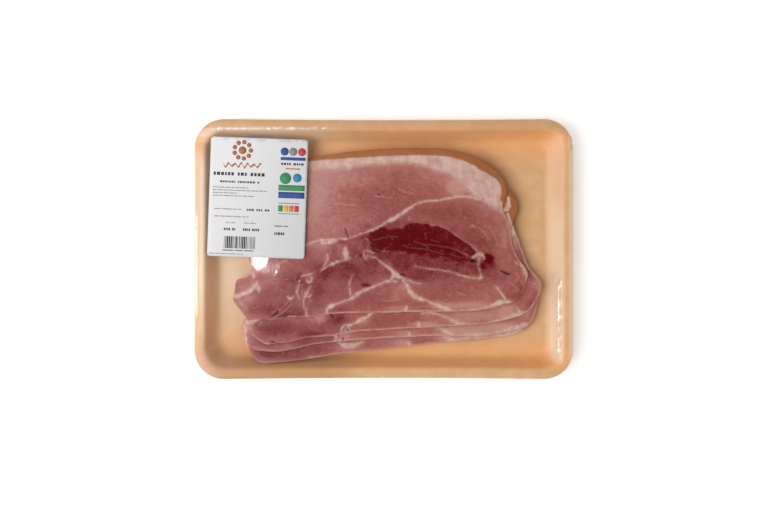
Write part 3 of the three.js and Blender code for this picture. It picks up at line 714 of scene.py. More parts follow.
# The strips of the lower slices that show in front of the one above, from the lowest slice up
STRIPS = [
    dict(
        tone=0.24,
        seams=[
            [(338, 341, 1.0), (342, 344.5, 2.4), (350, 346, 2.6), (357, 344, 2.0), (363, 341.5, 0.8)],
            [(409, 342, 1.2), (409.5, 345.5, 3.0)],
            [(444, 336.5, 2.4), (449, 339.5, 3.6), (457, 341, 2.2)],
            [(494, 337.5, 2.2), (503, 336, 3.4), (510, 334.3, 3.6), (517, 332, 3.0), (522, 330, 1.6)],
            [(458, 339, 1.2), (466, 338, 1.8), (476, 337.5, 2.4), (486, 337, 2.2)],
            [(310, 356.8, 0.6), (318, 356.3, 0.5)],
            [(334.5, 353, 0.6), (335.5, 356.5, 0.8)],
        ],
        streaks=[[(252, 352, 0.5), (257, 358, 0.6), (264, 363, 0.7), (280, 363, 0.5), (300, 361, 0.4)]],
        holes=[],
        spots=[(277, 354, 22, 5, 0, 0.66, 0.9), (322, 348, 18, 7, 0, 0.6, 0.7),
               (425, 340, 14, 3, 0, 0.36, 0.8), (372, 345, 14, 4, 0, 0.42, 0.7),
               (258, 360, 12, 6, 30, 0.62, 0.8), (284, 352, 30, 7, 0, 0.8, 0.85),
               (476, 337, 40, 6, 0, -0.12, 0.95), (300, 352, 20, 6, 0, 0.66, 0.7),
               (426, 341, 15, 3.5, 3, 0.42, 0.9)],
        pale=[(345, 347, 8, 3, 0, 0.5), (403, 343, 9, 5, 0, 0.8), (456, 340, 20, 5, 0, 0.7),
              (495, 336, 28, 6, -6, 1.0)],
    ),
    dict(
        tone=0.26,
        seams=[
            [(409, 332.5, 0.6), (409.5, 335, 2.0)],
            [(438, 327.5, 1.0), (445, 330.5, 2.0), (449, 333.3, 2.8), (453, 334.8, 1.6),
             (456, 335.3, 0.9)],
            [(456, 335.5, 0.9), (470, 335, 1.4), (480, 334.5, 2.0), (490, 334, 1.2)],
            [(498, 332.5, 2.0), (506, 331, 3.4), (514, 328.8, 3.6), (522, 326.3, 2.6),
             (527, 323.5, 1.4)],
            [(333, 333, 0.8), (337, 337, 1.8), (335, 341, 1.0)],
            [(245, 333, 1.6), (245.5, 341, 2.2), (248, 348, 1.4)],
            [(342, 338, 1.4), (338, 342, 1.0)],
        ],
        streaks=[
            [(400, 337, 0.4), (410, 336.5, 0.6), (425, 335.8, 0.6), (440, 335.3, 0.6)],
            [(256, 347, 0.7), (262, 348.5, 0.8), (268, 348.7, 0.8), (275, 350, 0.6)],
            [(379, 338.5, 0.5), (383, 338.7, 0.6)],
        ],
        holes=[[(342, 337.5, 0.7), (344, 339.5, 1.2)]],
        spots=[(270, 344, 24, 7, 5, 0.66, 0.85), (316, 340, 26, 6, 0, 0.84, 0.9),
               (300, 343, 18, 4, 0, 0.66, 0.8), (418, 334, 20, 4, 0, 0.2, 0.8),
               (250, 344, 6, 8, 0, 0.42, 0.7), (486, 330, 40, 6, 0, -0.12, 0.95),
               (320, 340, 14, 5, 0, 0.6, 0.8), (426, 331.5, 10, 3, 3, 0.34, 0.8),
               (372, 334, 20, 5, 0, 0.46, 0.8)],
        pale=[(287, 346, 9, 3, 0, 0.3), (345, 337, 6, 5, 0, 0.8), (406, 336, 9, 5, 0, 0.7),
              (450, 332, 10, 5, 0, 0.7), (472, 334, 18, 4, 0, 0.7), (512, 329, 18, 5, -10, 1.0)],
    ),
    dict(
        tone=0.4,
        seams=[
            [(341.5, 334, 0.6), (341.5, 328, 0.9), (344.5, 324.5, 1.1), (350, 325.5, 1.4),
             (356, 322.5, 1.6), (362, 319, 2.2), (367, 317, 2.2), (371, 313.5, 1.2), (375, 312, 0.8)],
            [(348, 327, 1.0), (349, 331, 0.9), (345, 335, 1.1)],
            [(418.5, 322.5, 0.6), (419, 325.5, 1.8)],
            [(422, 313, 1.0), (428, 312.5, 1.6), (434, 313.3, 1.2), (440, 315, 1.0), (447, 317.5, 1.0),
             (452, 320.5, 1.9), (457, 323, 3.0), (462, 323.7, 2.0), (470, 324.5, 1.2)],
            [(492, 323, 1.4), (500, 320.8, 2.4), (508, 318.2, 3.2), (515, 315.8, 3.8),
             (521, 313.3, 3.4), (528, 312, 1.4)],
            [(520, 312, 0.8), (517, 307.5, 0.4)],
            [(246, 319, 2.0), (248, 323, 3.2), (253, 321, 2.2), (258, 320, 0.8)],
            [(243, 322, 1.6), (244.5, 327, 3.0), (246, 332, 1.8)],
            [(502, 210.5, 2.2), (506, 210.5, 2.6), (509, 206, 2.4), (509.5, 201, 1.9),
             (508.5, 197.5, 1.0)],
            [(508, 214, 1.6), (509.5, 221, 2.0), (511, 227, 1.0)],
        ],
        streaks=[
            [(252, 333, 0.6), (256, 336.5, 0.8), (262, 341, 0.8), (267, 344, 0.7), (271, 344.5, 0.5)],
            [(321, 335, 0.5), (330, 334.5, 0.5), (334, 335.3, 0.4)],
            [(512, 226, 0.4), (516, 232, 0.5), (519.5, 240, 0.6), (521.5, 248, 0.6), (524, 258, 0.6),
             (527, 264, 0.5)],
            [(531, 272, 0.7), (536, 279, 0.8), (541, 286, 0.8)],
            [(533, 283.5, 0.5), (537, 283.5, 0.8), (540, 287.5, 0.7)],
            [(410, 327.5, 0.5), (425, 327, 0.6), (438, 325.5, 0.6), (449, 324.8, 0.8)],
            [(308, 318, 0.8), (313, 322, 0.5)],
            [(318, 317, 0.8), (320, 324, 0.5)],
            [(262, 322, 0.8), (260, 325, 0.5)],
            [(531, 322, 0.4), (534.5, 315, 0.5), (536, 306, 0.4)],
        ],
        holes=[[(331, 312.5, 0.9), (331.5, 315, 1.1), (333.5, 317, 0.6)],
               [(272.5, 341, 0.9), (276, 342, 0.7)],
               [(347.5, 329, 0.7), (348, 331, 0.6)]],
        spots=[(280, 328, 24, 8, 0, 0.82, 0.95), (325, 325, 12, 6, 0, 0.56, 0.8),
               (308, 333, 14, 5, 0, 0.6, 0.7), (432, 318, 20, 6, 0, 0.26, 0.7),
               (382, 321, 18, 6, 0, 0.54, 0.8), (416, 319, 10, 4, 10, 0.5, 0.8),
               (478, 317, 36, 6, 0, 0.12, 0.95), (305, 328, 20, 6, 0, 0.64, 0.7),
               (520, 305, 10, 8, 0, 0.46, 0.8), (532, 292, 8, 10, 0, 0.42, 0.8),
               (516, 245, 4, 22, -12, 0.46, 0.8), (530, 272, 5, 8, 0, 0.52, 0.8),
               (262, 337, 14, 5, 30, 0.62, 0.7), (338, 320, 10, 8, 0, 0.84, 0.9),
               (539, 284, 7, 9, 20, 0.16, 0.9), (321, 318, 6, 5, 0, 0.1, 0.8),
               (365, 321, 6, 4, 0, 0.2, 0.8), (314, 334, 14, 4, 0, 0.86, 0.9),
               (425, 324.5, 15, 3, 0, 0.0, 0.9)],
        pale=[(318, 317, 5, 4, 0, 0.35), (347, 333, 5, 6, 0, 0.9), (512, 318.5, 18, 5, -12, 1.0),
              (460, 322, 12, 4, 5, 0.5), (247, 325, 6, 8, 0, 1.0), (507, 310, 14, 8, -12, 1.0),
              (539, 284, 5, 7, 20, 0.5), (516, 238, 5, 30, -14, 0.9), (478, 312, 40, 3, 0, 0.35)],
    ),
]

SLICE_MARKS = [dict(strip, areas=[]) for strip in STRIPS]
SLICE_MARKS.append(dict(tone=0.42, seams=TOP_SEAMS, streaks=TOP_STREAKS, holes=TOP_HOLES,
                        spots=TOP_SPOTS, areas=TOP_AREAS, pale=TOP_PALE))

MARK_SEEDS = {"seams": 3, "streaks": 7, "holes": 5}

# The inner edges of the rind and of the fat under it, from the left end to the right shoulder
RIND_EDGE = [
    (252, 272), (249, 250), (249, 215), (256, 188), (275, 172), (292, 164), (305, 161.3), (320, 159.8),
    (330, 159.5), (350, 158), (370, 157.2), (390, 156), (410, 155.6), (430, 155.6), (440, 156),
    (450, 157), (460, 159.4), (470, 163.3), (480, 169.5), (490, 175), (496, 178.5), (500, 183.5),
    (502.3, 189), (501.5, 194), (500, 198), (501, 201.5), (504, 203.5), (508, 203), (511, 200),
    (514, 196),
]
FAT_EDGE = [
    (262, 262), (261, 235), (263, 212), (272, 192), (288, 178), (300, 172.5), (310, 170.3),
    (330, 170.3), (345, 170.5), (352, 168.3), (360, 166.5), (370, 165.5), (385, 165), (395, 163.7),
    (405, 163.5), (415, 164.5), (425, 167), (431, 170), (437, 172.5), (445, 173.5), (450, 175.5),
    (456, 179), (461, 183), (465, 187.5), (468.5, 192), (472, 196.5), (480, 199), (485, 203),
    (490, 207), (497, 210), (503, 214),
]
OUTSIDE_CORNERS = [(560, 190), (560, 90), (190, 90), (190, 270)]  # round the rind side, off the ham
RIND_SHIFTS = np.array([(-1, 43), (1, 34), (3, 26), (0, 0)])  # each slice's rind, from the top one's


def meat_tones(u, v, marks, number):
    """How dark the meat is, from 0 to 1, at photo pixels."""
    values = np.full(u.shape, marks["tone"])
    for *place, tone, strength in marks["spots"]:
        values += strength * soft_spot(u, v, *place) * (tone - values)
    for polygon, softness, tone in marks["areas"]:
        ragged = layered_noise(u, v, 6, 31) * 3.0
        deep = depth_inside(u, v, rounded_ring(polygon)) + ragged
        values += smoothstep(-softness, softness, deep) * (tone - values)
    return values + 0.05 * layered_noise(u, v, 9, 11 + number)


def pale_marks(u, v, marks, number, seams):
    """How pale the meat is, from 0 to 1: streaks, a halo round the seams, and soft spots."""
    streaks = smoothstep(-0.7, 0.7, reach(u, v, mark_lines(number, "streaks")))
    halo = smoothstep(-3.5, 0, seams) * (0.18 + 0.25 * layered_noise(u, v, 8, 41))
    pale = np.maximum(0.6 * streaks, halo)
    ragged = 1 + 0.6 * layered_noise(u, v, 3.5, 51)
    for *place, strength in marks["pale"]:
        pale = np.maximum(pale, strength * soft_spot(u, v, *place) * ragged)
    return pale


def ham_values(x, y, level, number):
    """The tone, fat, hole, pale and rind values of slice `number` at points (x, y)."""
    u, v = mm_to_photo(x, y, level)
    marks = SLICE_MARKS[number]
    seams = reach(u, v, mark_lines(number, "seams"))
    pale = pale_marks(u, v, marks, number, seams)
    fat_edge, rind_edge = (np.vstack([rounded(edge), OUTSIDE_CORNERS]) + RIND_SHIFTS[number]
                           for edge in (FAT_EDGE, RIND_EDGE))
    band = depth_inside(u, v, fat_edge) + 0.8 * layered_noise(u, v, 6, 21)
    fat = np.maximum(np.maximum(seams, -6), np.minimum(band * 0.45, 3.0))
    pale = np.clip(np.maximum(pale, 0.4 * smoothstep(-14, 0, band)), 0, 1)
    rind = depth_inside(u, v, rind_edge) + 0.4 * layered_noise(u, v, 5, 23)
    return {
        "tone": meat_tones(u, v, marks, number),
        "fat": fat,
        "hole": smoothstep(-0.5, 0.5, reach(u, v, mark_lines(number, "holes"))),
        "pale": pale * (1 - 0.8 * smoothstep(0, 2.5, fat)),
        "rind": np.clip(np.minimum(rind * 0.5, -1.5 * seams), -6, 6),
    }


def soft_spot(u, v, su, sv, across, down, turn):
    """1 in the middle of a spot, falling smoothly to 0 past its reach."""
    c, s = math.cos(math.radians(turn)), math.sin(math.radians(turn))
    a = ((u - su) * c - (v - sv) * s) / across
    b = ((u - su) * s + (v - sv) * c) / down
    return np.exp(-(a * a + b * b) ** 1.3)


def rounded_ring(polygon):
    """A closed polygon with its corners cut smooth."""
    line = rounded(np.vstack([polygon, polygon[:2]]), 2)
    return line[len(line) // (2 * len(polygon)) :]


def natural(line, seed):
    """A mark's line, smoothed and made a little unsteady."""
    line = resampled(rounded(line), 0.8)
    line[:, 0] += 0.35 * noise(line[:, 0], line[:, 1], 3.0, seed)
    line[:, 1] += 0.35 * noise(line[:, 0], line[:, 1], 3.0, seed + 1)
    line[:, 2] *= 0.9 + 0.45 * noise(line[:, 0], line[:, 1], 2.5, seed + 2)
    return line


def mark_lines(number, kind):
    """The lines of one kind of mark on slice `number`, smoothed and made a little unsteady."""
    seed = MARK_SEEDS[kind]
    return [natural(line, seed + 10 * k) for k, line in enumerate(SLICE_MARKS[number][kind])]


def reach(u, v, lines):
    """How far points lie inside the nearest of the lines, in pixels; negative outside."""
    best = np.full(u.shape, -20.0)
    for line in lines:
        low, high = line[:, :2].min(0) - 8, line[:, :2].max(0) + 8
        near = (u > low[0]) & (u < high[0]) & (v > low[1]) & (v < high[1])
        far, place = distance_to_line(u[near], v[near], line)
        width = np.interp(place, np.arange(len(line)), line[:, 2])
        best[near] = np.maximum(best[near], width - far)
    return best


# ---------------------------------------------------------------- slices

LATTICE_STEP = 2.0  # of the grid on which the slices' heights are read from the CAD
SPREADING, SMOOTHING = 60, 6  # passes that spread the heights past the edges, and that smooth them
ABOVE_ALL = 60.0
LATTICE_X = np.arange(-134, 134.1, LATTICE_STEP)
LATTICE_Y = np.arange(-98, 98.1, LATTICE_STEP)
CUT_ROUNDING = 0.6
CUT_SECTION = [(1, 0), (0.3, 0.3), (0, 1)]  # a quarter of the cut edge: inward and down, as shares
EDGE_TAPER = 1.1  # how much thinner a slice is at its edge
EDGE_TAPER_REACH = 6.0
PRESSED_PLACE = (104.0, -34.0)  # where the top slice's right end is pressed onto the one below
PRESSED_REACH = 19.0
OUTLINE_STEP = 0.8
VISIBLE_STEP = 0.85  # distance between mesh points where a slice shows
HIDDEN_STEP = 4.0
HIDDEN_DEPTH = 5.0  # a slice is taken as hidden this far under the next one's edge


def cad_surface(name):
    """A CAD node's merged points and its triangles."""
    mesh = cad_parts[name].data
    mesh.calc_loop_triangles()
    points = np.array([v.co[:] for v in mesh.vertices]) / MM
    triangles = np.array([t.vertices[:] for t in mesh.loop_triangles])
    merged, number = np.unique(np.round(points, 3), axis=0, return_inverse=True)
    return merged, number.ravel()[triangles]


def cad_outline(points, triangles):
    """The outline of a sheet-like node from above, as a smooth anticlockwise ring."""
    a, b, c = (points[triangles[:, k]] for k in range(3))
    normal = np.cross(b - a, c - a)
    upper = triangles[normal[:, 2] > 0.3 * np.linalg.norm(normal, axis=1)]
    edges = {(t[k], t[(k + 1) % 3]) for t in upper.tolist() for k in range(3)}
    follows = {p: q for p, q in edges if (q, p) not in edges}
    start = next(iter(sorted(follows)))
    chain = [start]
    while follows[chain[-1]] != start:
        chain.append(follows[chain[-1]])
    ring = resampled(points[chain][:, :2], OUTLINE_STEP, closed=True)
    steps = np.arange(-8, 9)
    weights = np.exp(-0.5 * (steps / 2.6) ** 2)
    weights /= weights.sum()
    return sum(weight * np.roll(ring, step, 0) for step, weight in zip(steps, weights))


def lattice_heights(points, triangles):
    """The underside heights of a sheet-like node on the lattice, spread past its edges."""
    tree = BVHTree.FromPolygons([Vector(p) for p in points], triangles.tolist())
    heights = np.full((len(LATTICE_X), len(LATTICE_Y)), np.nan)
    for i, x in enumerate(LATTICE_X):
        for j, y in enumerate(LATTICE_Y):
            hit = tree.ray_cast(Vector((x, y, ABOVE_ALL)), Vector((0, 0, -1)))[0]
            if hit:
                heights[i, j] = hit.z - SLICE_THICKNESS
    known = np.isfinite(heights)
    heights = np.where(known, heights, np.nanmean(heights))
    for _ in range(SPREADING):
        heights = np.where(known, heights, averaged(heights))
    for _ in range(SMOOTHING):
        heights = averaged(heights)
    return heights


def averaged(grid):
    """A grid with each value replaced by the mean of it and its four neighbours."""
    padded = np.pad(grid, 1, mode="edge")
    around = padded[2:, 1:-1] + padded[:-2, 1:-1] + padded[1:-1, 2:] + padded[1:-1, :-2]
    return (grid + around) / 5


def height_at(grid, x, y):
    """The smooth height of a lattice grid at points (x, y)."""
    gx = np.clip((x - LATTICE_X[0]) / LATTICE_STEP, 0, len(LATTICE_X) - 1.001)
    gy = np.clip((y - LATTICE_Y[0]) / LATTICE_STEP, 0, len(LATTICE_Y) - 1.001)
    i, j = gx.astype(int), gy.astype(int)
    return between(grid, i, j, gx - i, gy - j)


def mark_points(number, level):
    """Points along the marks of a slice, so that thin ones keep their sharp line in the mesh."""
    lines = [line for kind in MARK_SEEDS for line in mark_lines(number, kind)]
    return np.vstack([photo_to_mm(line, level)[:, :2] for line in lines])


def thinned(points, least):
    """Points without those that come too close to an earlier one."""
    cell = np.floor(points / least).astype(int)
    first = np.unique(cell, axis=0, return_index=True)[1]
    return points[np.sort(first)]


def upper_points(number, level, outline, next_outline):
    """The points of a slice's upper face: close together where it shows, and apart where it doesn't."""
    low, high = outline.min(0), outline.max(0)
    fine = scattered(low, high, VISIBLE_STEP, 5 + number)
    marks = thinned(mark_points(number, level), 0.45)
    points = np.vstack([marks, fine])
    if next_outline is not None:
        cover = next_outline[::4]
        coarse = scattered(low, high, HIDDEN_STEP, 9 + number)
        points = points[depth_inside(*points.T, cover) < HIDDEN_DEPTH]
        points = np.vstack([points, coarse[depth_inside(*coarse.T, cover) >= HIDDEN_DEPTH]])
    inner = offset(outline, -CUT_ROUNDING)
    return deeper(thinned(points, 0.42), offset(inner, -0.3)[::2], 0.1)


def edge_values(x, y, inside, is_top):
    """How much of the slice's pale cut edge shows, by the distance from its outline; less at the left.
    The pale line is partly the fat skin at the ham's edge and partly a painted highlight where the edge
    catches the light.
    """
    left = 1 - smoothstep(-80, -20, x)
    edge = (1 - smoothstep(0.4, 1.9, inside)) * (1 - left)
    edge += 0.5 * (1 - smoothstep(0.2, 1.3, inside)) * left
    if is_top:
        edge *= 1 - np.minimum(1.3 * pressed(x, y), 1)
    return edge


def cut_rings(outline, heights):
    """The rings of a slice's rounded cut edge, from its upper face down and under."""
    rounding = np.minimum(CUT_ROUNDING, 0.45 * (SLICE_THICKNESS - edge_taper(*outline.T)))
    rings = []
    for inward, down in CUT_SECTION:
        ring = offset(outline, -inward * CUT_ROUNDING)
        rings.append(np.c_[ring, height_at(heights, *ring.T) + SLICE_THICKNESS - down * rounding])
    for inward, down in CUT_SECTION[::-1]:
        ring = offset(outline, -inward * CUT_ROUNDING)
        rings.append(np.c_[ring, height_at(heights, *ring.T) + down * rounding])
    return rings


def slice_piece(number, outline, heights, next_outline, material):
    """One slice: a sheet with a detailed upper face, a rounded cut edge and a plain underside."""
    ragged = 0.35 * layered_noise(outline[:, 0], outline[:, 1], 4.0, 71 + number)
    outline = resampled(offset(outline, ragged), OUTLINE_STEP, closed=True)
    count = len(outline)
    level = float(height_at(heights, *outline.T).mean()) + SLICE_THICKNESS
    inner = offset(outline, -CUT_ROUNDING)
    over = upper_points(number, level, outline, next_outline)
    under = scattered(outline.min(0), outline.max(0), HIDDEN_STEP, 15 + number)
    under = deeper(under, inner[::3], 1.5)
    rings = cut_rings(outline, heights)
    top = np.c_[over, height_at(heights, *over.T) + SLICE_THICKNESS]
    bottom = np.c_[under, height_at(heights, *under.T)]
    points = np.vstack([*rings, top, bottom])

    x, y = points[:, 0], points[:, 1]
    inside = depth_inside(x, y, outline[::3])
    close = inside < 4
    inside[close] = depth_inside(x[close], y[close], outline)
    values = ham_values(x, y, level, number)
    values["edge"] = edge_values(x, y, inside, next_outline is None)
    half = len(rings) // 2 * count
    upper = np.r_[np.ones(half), np.zeros(half), np.ones(len(over)), np.zeros(len(under))]
    points[:, 2] += upper * relief(x, y, values, inside)

    first = len(rings) * count
    faces = wall_faces(len(rings), count)
    faces += cap_faces(inner, over, 0, first)
    faces += cap_faces(inner, under, first - count, first + len(over), downwards=True)
    piece(f"sliced_ham_{number + 1}", points, faces, [material], [SLICES[number]], values)


def pressed(x, y):
    """How far the film presses a slice's end down at points (x, y), from 0 to 1."""
    return bell(np.hypot(x - PRESSED_PLACE[0], y - PRESSED_PLACE[1]), PRESSED_REACH)


def edge_taper(x, y):
    """How much thinner a slice gets towards its edge near points (x, y)."""
    return EDGE_TAPER * (1 + 0.75 * pressed(x, y))


def relief(x, y, values, inside):
    """The fine ups and downs of a cut face: soft waves, proud seams, stringy dark meat and torn holes."""
    wave = 0.16 * layered_noise(x, y, 14, 81) + 0.05 * layered_noise(x, y, 3, 83)
    seam = 0.07 * smoothstep(-1, 1, values["fat"])
    turn = math.radians(-14)
    along = x * math.cos(turn) + y * math.sin(turn)
    across = -x * math.sin(turn) + y * math.cos(turn)
    strings = 0.22 * smoothstep(0.7, 0.95, values["tone"]) * layered_noise(along / 4, across, 1.6, 85)
    hole = -1.1 * values["hole"]
    taper = edge_taper(x, y) * (1 - smoothstep(0, EDGE_TAPER_REACH, inside))
    return (wave + seam + strings + hole) * smoothstep(0.6, 2.0, inside) - taper


def make_slices():
    """The slices from the lowest up, each kept clear of those below it."""
    material = ham_material()
    surfaces = [cad_surface(name) for name in SLICES]
    outlines = [cad_outline(*surface) for surface in surfaces]
    grid = np.meshgrid(LATTICE_X, LATTICE_Y, indexing="ij")
    below = np.full(grid[0].shape, -np.inf)
    for number, surface in enumerate(surfaces):
        heights = np.maximum(lattice_heights(*surface), below)
        following = outlines[number + 1] if number + 1 < len(SLICES) else None
        slice_piece(number, outlines[number], heights, following, material)
        covered = depth_inside(*grid, outlines[number]) > -2
        below = np.where(covered, heights + SLICE_THICKNESS + SLICE_CLEARANCE, below)


# ---------------------------------------------------------------- tray and film

# The tray's section: inset from the rim's edge and height above its base, as the CAD frame has them
TRAY_SECTION = [
    (23, FLOOR_HEIGHT), (19.5, FLOOR_HEIGHT), (17.5, 4.35), (15.5, 5.6), (13.8, 7.8), (12.2, 11),
    (10.2, 15.5), (8.8, 18.4), (7.6, 19.6), (6, 20), (3, 20), (1.2, 19.7), (0.3, 18.7), (0, 17.3),
    (0.6, 16.6), (3, 16.8), (5.5, 16.2), (7.2, 14), (10.5, 6.5), (12.8, 2.2), (15.5, 0.4), (18, 0),
    (24, 0),
]
# The film's: the same inset, and the height above the ground
FILM_SECTION = [
    (5, FILM_TOP), (2, FILM_TOP), (0.4, FILM_TOP - 0.35), (-0.5, 20.6), (-0.8, 19.4), (-0.8, 17.2),
    (2, 13.8), (5, 10.2), (8, 6.6), (11.8, 2), (14.6, 0.35), (17.5, 0.05), (24, 0.05), (40, 0.05),
    (58, 0.05),
]


def tray_loop(inset):
    """A closed anticlockwise loop round the tray, `inset` inside the rim's edge."""
    radius = max(TRAY_CORNER - 0.8 * inset, LEAST_CORNER)
    corners = corner_arcs(TRAY_LENGTH / 2 - inset, TRAY_WIDTH / 2 - inset, radius, CORNER_POINTS)
    parts = []
    for quarter, corner in enumerate(corners):
        following = corners[(quarter + 1) % 4][0]
        share = np.linspace(0, 1, (LONG_POINTS, SHORT_POINTS)[quarter % 2] + 1)[:-1, None]
        parts += [corner[:-1], corner[-1] + share * (following - corner[-1])]
    loop = np.vstack(parts)
    along = loop[:, 0] / (TRAY_LENGTH / 2)
    loop[:, 1] *= 1 - SIDE_PINCH / (TRAY_WIDTH / 2) * (1 - along**2)
    return loop


def film_dip(x, y):
    """How far the film hangs below its level on the rim."""
    across = np.maximum(0, 1 - (x / (TRAY_LENGTH / 2 - FILM_SPAN_INSET)) ** 2)
    down = np.maximum(0, 1 - (y / (TRAY_WIDTH / 2 - FILM_SPAN_INSET)) ** 2)
    return FILM_SAG * across * down


# Where a shadow is painted on the foam beside the rind's shoulder, making it browner, in photo pixels
RIND_SHADOW = [(484, 158), (498, 168), (508, 181), (515, 196), (516, 212), (514, 228)]


def foam_painted_warm_shade(x, y):
    """Painted warm shade, more orange foam: the feet of the long walls, and the left wall's lower part,
    where they lie in shade.
    """
    side = np.abs(y)
    long_walls = smoothstep(60, 84, side) * (1 - smoothstep(90, 93, side))
    long_walls *= 1 - 0.6 * smoothstep(80, 85, y) * smoothstep(20, -40, x)
    left_wall = smoothstep(-126, -130, x) * smoothstep(-139, -135, x) * smoothstep(15, -5, y)
    return np.maximum(long_walls, 0.7 * left_wall)


def foam_painted_light(x, y, painted_warm_shade):
    """Painted light and painted reflection, making the foam paler: the left end, the upper wall there,
    the right wall and the right rim.
    """
    left = (0.7 + 0.3 * smoothstep(-128, -132, x)) * smoothstep(-88, -120, x) * smoothstep(-78, -20, y)
    left *= (1 - painted_warm_shade) * smoothstep(90, 80, y)
    upper = 0.8 * smoothstep(82, 88, y) * smoothstep(94, 91, y) * smoothstep(-20, -90, x)
    painted_light = np.maximum(left, upper) * (1 - 0.6 * smoothstep(-139, -142, x))
    wall = (0.85 - 0.4 * smoothstep(10, 50, y)) * smoothstep(124, 133, x)
    wall = np.maximum(wall, smoothstep(127, 131, x) * smoothstep(-10, -45, y))
    wall *= smoothstep(139, 135, x) * smoothstep(90, 82, np.abs(y))
    rim = 0.9 * smoothstep(140, 144.5, x)
    return np.maximum(np.maximum(painted_light, wall), rim)


def foam_painted_shade(x, y):
    """Painted shade, browner foam: the lower left and the upper rim, and a painted shadow along the
    rind's shoulder.
    """
    lower = 0.8 * smoothstep(-66, -86, y)
    corner = 0.6 * smoothstep(-62, -78, y) * smoothstep(-132, -138, x)
    painted_shade = np.maximum(lower, corner) * smoothstep(0, -50, x)
    painted_shade = np.maximum(painted_shade, 0.3 * smoothstep(86, 93, y))
    rind_shadow_far = distance_to_line(x, y, photo_to_mm(RIND_SHADOW, TRAY_BASE + FLOOR_HEIGHT))[0]
    return np.maximum(painted_shade, 0.75 * bell(rind_shadow_far, 7))


def make_tray():
    """The foam tray: loops along its section, closed by the floor inside and the base under it."""
    section = resampled(rounded(TRAY_SECTION, 3), 0.9)
    loops = [at_level(tray_loop(inset), z + TRAY_BASE) for inset, z in section]
    count = len(loops[0])
    floor, base = loops[0][:, :2], loops[-1][:, :2]
    inner = scattered(floor.min(0), floor.max(0), 7.0, 41)
    top, bottom = deeper(inner, floor, 3), deeper(inner, base, 3)
    first = len(loops) * count
    points = np.vstack([*loops, at_level(top, loops[0][0, 2]), at_level(bottom, loops[-1][0, 2])])
    faces = wall_faces(len(loops), count)
    faces += cap_faces(floor, top, 0, first)
    faces += cap_faces(base, bottom, first - count, first + len(top), downwards=True)
    x, y = points[:, 0], points[:, 1]
    painted_warm_shade = foam_painted_warm_shade(x, y)
    values = {"painted_warm_shade": painted_warm_shade, "painted_light": foam_painted_light(x, y, painted_warm_shade), "painted_shade": foam_painted_shade(x, y)}
    piece("foam_tray", points, faces, [foam_material()], ["tray"], values)


# Where the film is bunched or creased, and glitters: start, end, half width in millimetres, strength
FILM_CREASES = [
    ((-142.8, 25), (-142.8, -50), 0.9, 0.25),
    ((-132, 92), (-44, 92), 0.8, 0.6),
    ((134.2, -24), (134.0, -78), 1.3, 0.6),
    ((143.0, 86), (143.0, 76), 1.5, 1.2),
    ((129, -20), (130, -82), 4.0, 0.15),
]


def film_wrinkles(x, y):
    """Low tension wrinkles over the span, fanning in from the corners."""
    total = 0.03 * layered_noise(x, y, 40, 61)
    for sx, sy, seed in ((1, 1, 0), (-1, 1, 3), (-1, -1, 5), (1, -1, 7)):
        dx, dy = sx * TRAY_LENGTH / 2 - x, sy * TRAY_WIDTH / 2 - y
        angle = np.arctan2(dy * sy, dx * sx)
        fan = np.sin(16 * angle + seed + 1.5 * noise(x, y, 30, 63 + seed))
        total = total + 0.02 * bell(np.hypot(dx, dy) - 45, 35) * fan
    return total + RUCK_HEIGHT * bell(np.hypot(x - RUCK_PLACE[0], y - RUCK_PLACE[1]), RUCK_REACH)


def film_loops():
    """The film's rings from the rim down and under the tray, with pleats drawn inwards in the skirt."""
    loops = []
    for inset, z in resampled(rounded(FILM_SECTION, 2), 1.2):
        loop = tray_loop(inset)
        count = len(loop)
        turn = np.arange(count) / count
        pleat = np.zeros(count)
        if z < PLEAT_TOP:
            fold = noise(turn * 420, turn * 0 + 5, 1.0, 91) + 0.6 * noise(turn * 900, turn * 0, 1.0, 93)
            weaker_under = 1 if inset < 15 else 0.3
            pleat = -0.2 * np.abs(fold) * min(1.0, (PLEAT_TOP - z) / 8) * weaker_under
        loops.append(at_level(offset(loop, pleat), z))
    return loops


def film_span(edge):
    """The points of the film over the tray, closer together along its edge."""
    middle = scattered(edge.min(0), edge.max(0), 2.2, 43)
    border = scattered(edge.min(0), edge.max(0), 1.1, 44)
    border = border[depth_inside(*border.T, edge) < 7]
    span = deeper(np.vstack([border, middle[depth_inside(*middle.T, edge) >= 7]]), edge, 0.9)
    rise = film_wrinkles(*span.T) * smoothstep(0, 14, depth_inside(*span.T, edge))
    return np.c_[span, FILM_TOP - film_dip(*span.T) + rise]


def film_crinkle(x, y):
    """How crinkled the film is at points (x, y): at the corners and along its creases."""
    crinkle = 0.05 * smoothstep(150, 168, np.hypot(x, y))
    for start, end, width, strength in FILM_CREASES:
        far = distance_to_line(x, y, np.array([start, end], float))[0]
        crinkle = np.maximum(crinkle, strength * bell(far, width))
    return np.clip(crinkle * (1 + 0.4 * noise(x, y, 7, 95)), 0.004, 1)


def make_film():
    """The film: a closed thin shell over the rim, down the skirt and flat under the tray."""
    loops = film_loops()
    count = len(loops[0])
    span = film_span(loops[0][:, :2])
    outer = np.vstack([*loops, span])
    faces = wall_faces(len(loops), count)
    faces += cap_faces(loops[0][:, :2], span[:, :2], 0, len(loops) * count)
    inner = outer - point_normals(outer, faces) * FILM_THICKNESS
    back = [[k + len(outer) for k in face[::-1]] for face in faces]
    last = (len(loops) - 1) * count
    hem = ring_faces(last, last + len(outer), count)
    points = np.vstack([outer, inner])
    values = {"crinkle": film_crinkle(points[:, 0], points[:, 1])}
    film = piece("clear_film", points, faces + back + hem, [film_material()], ["film"], values)
    film.visible_shadow = False


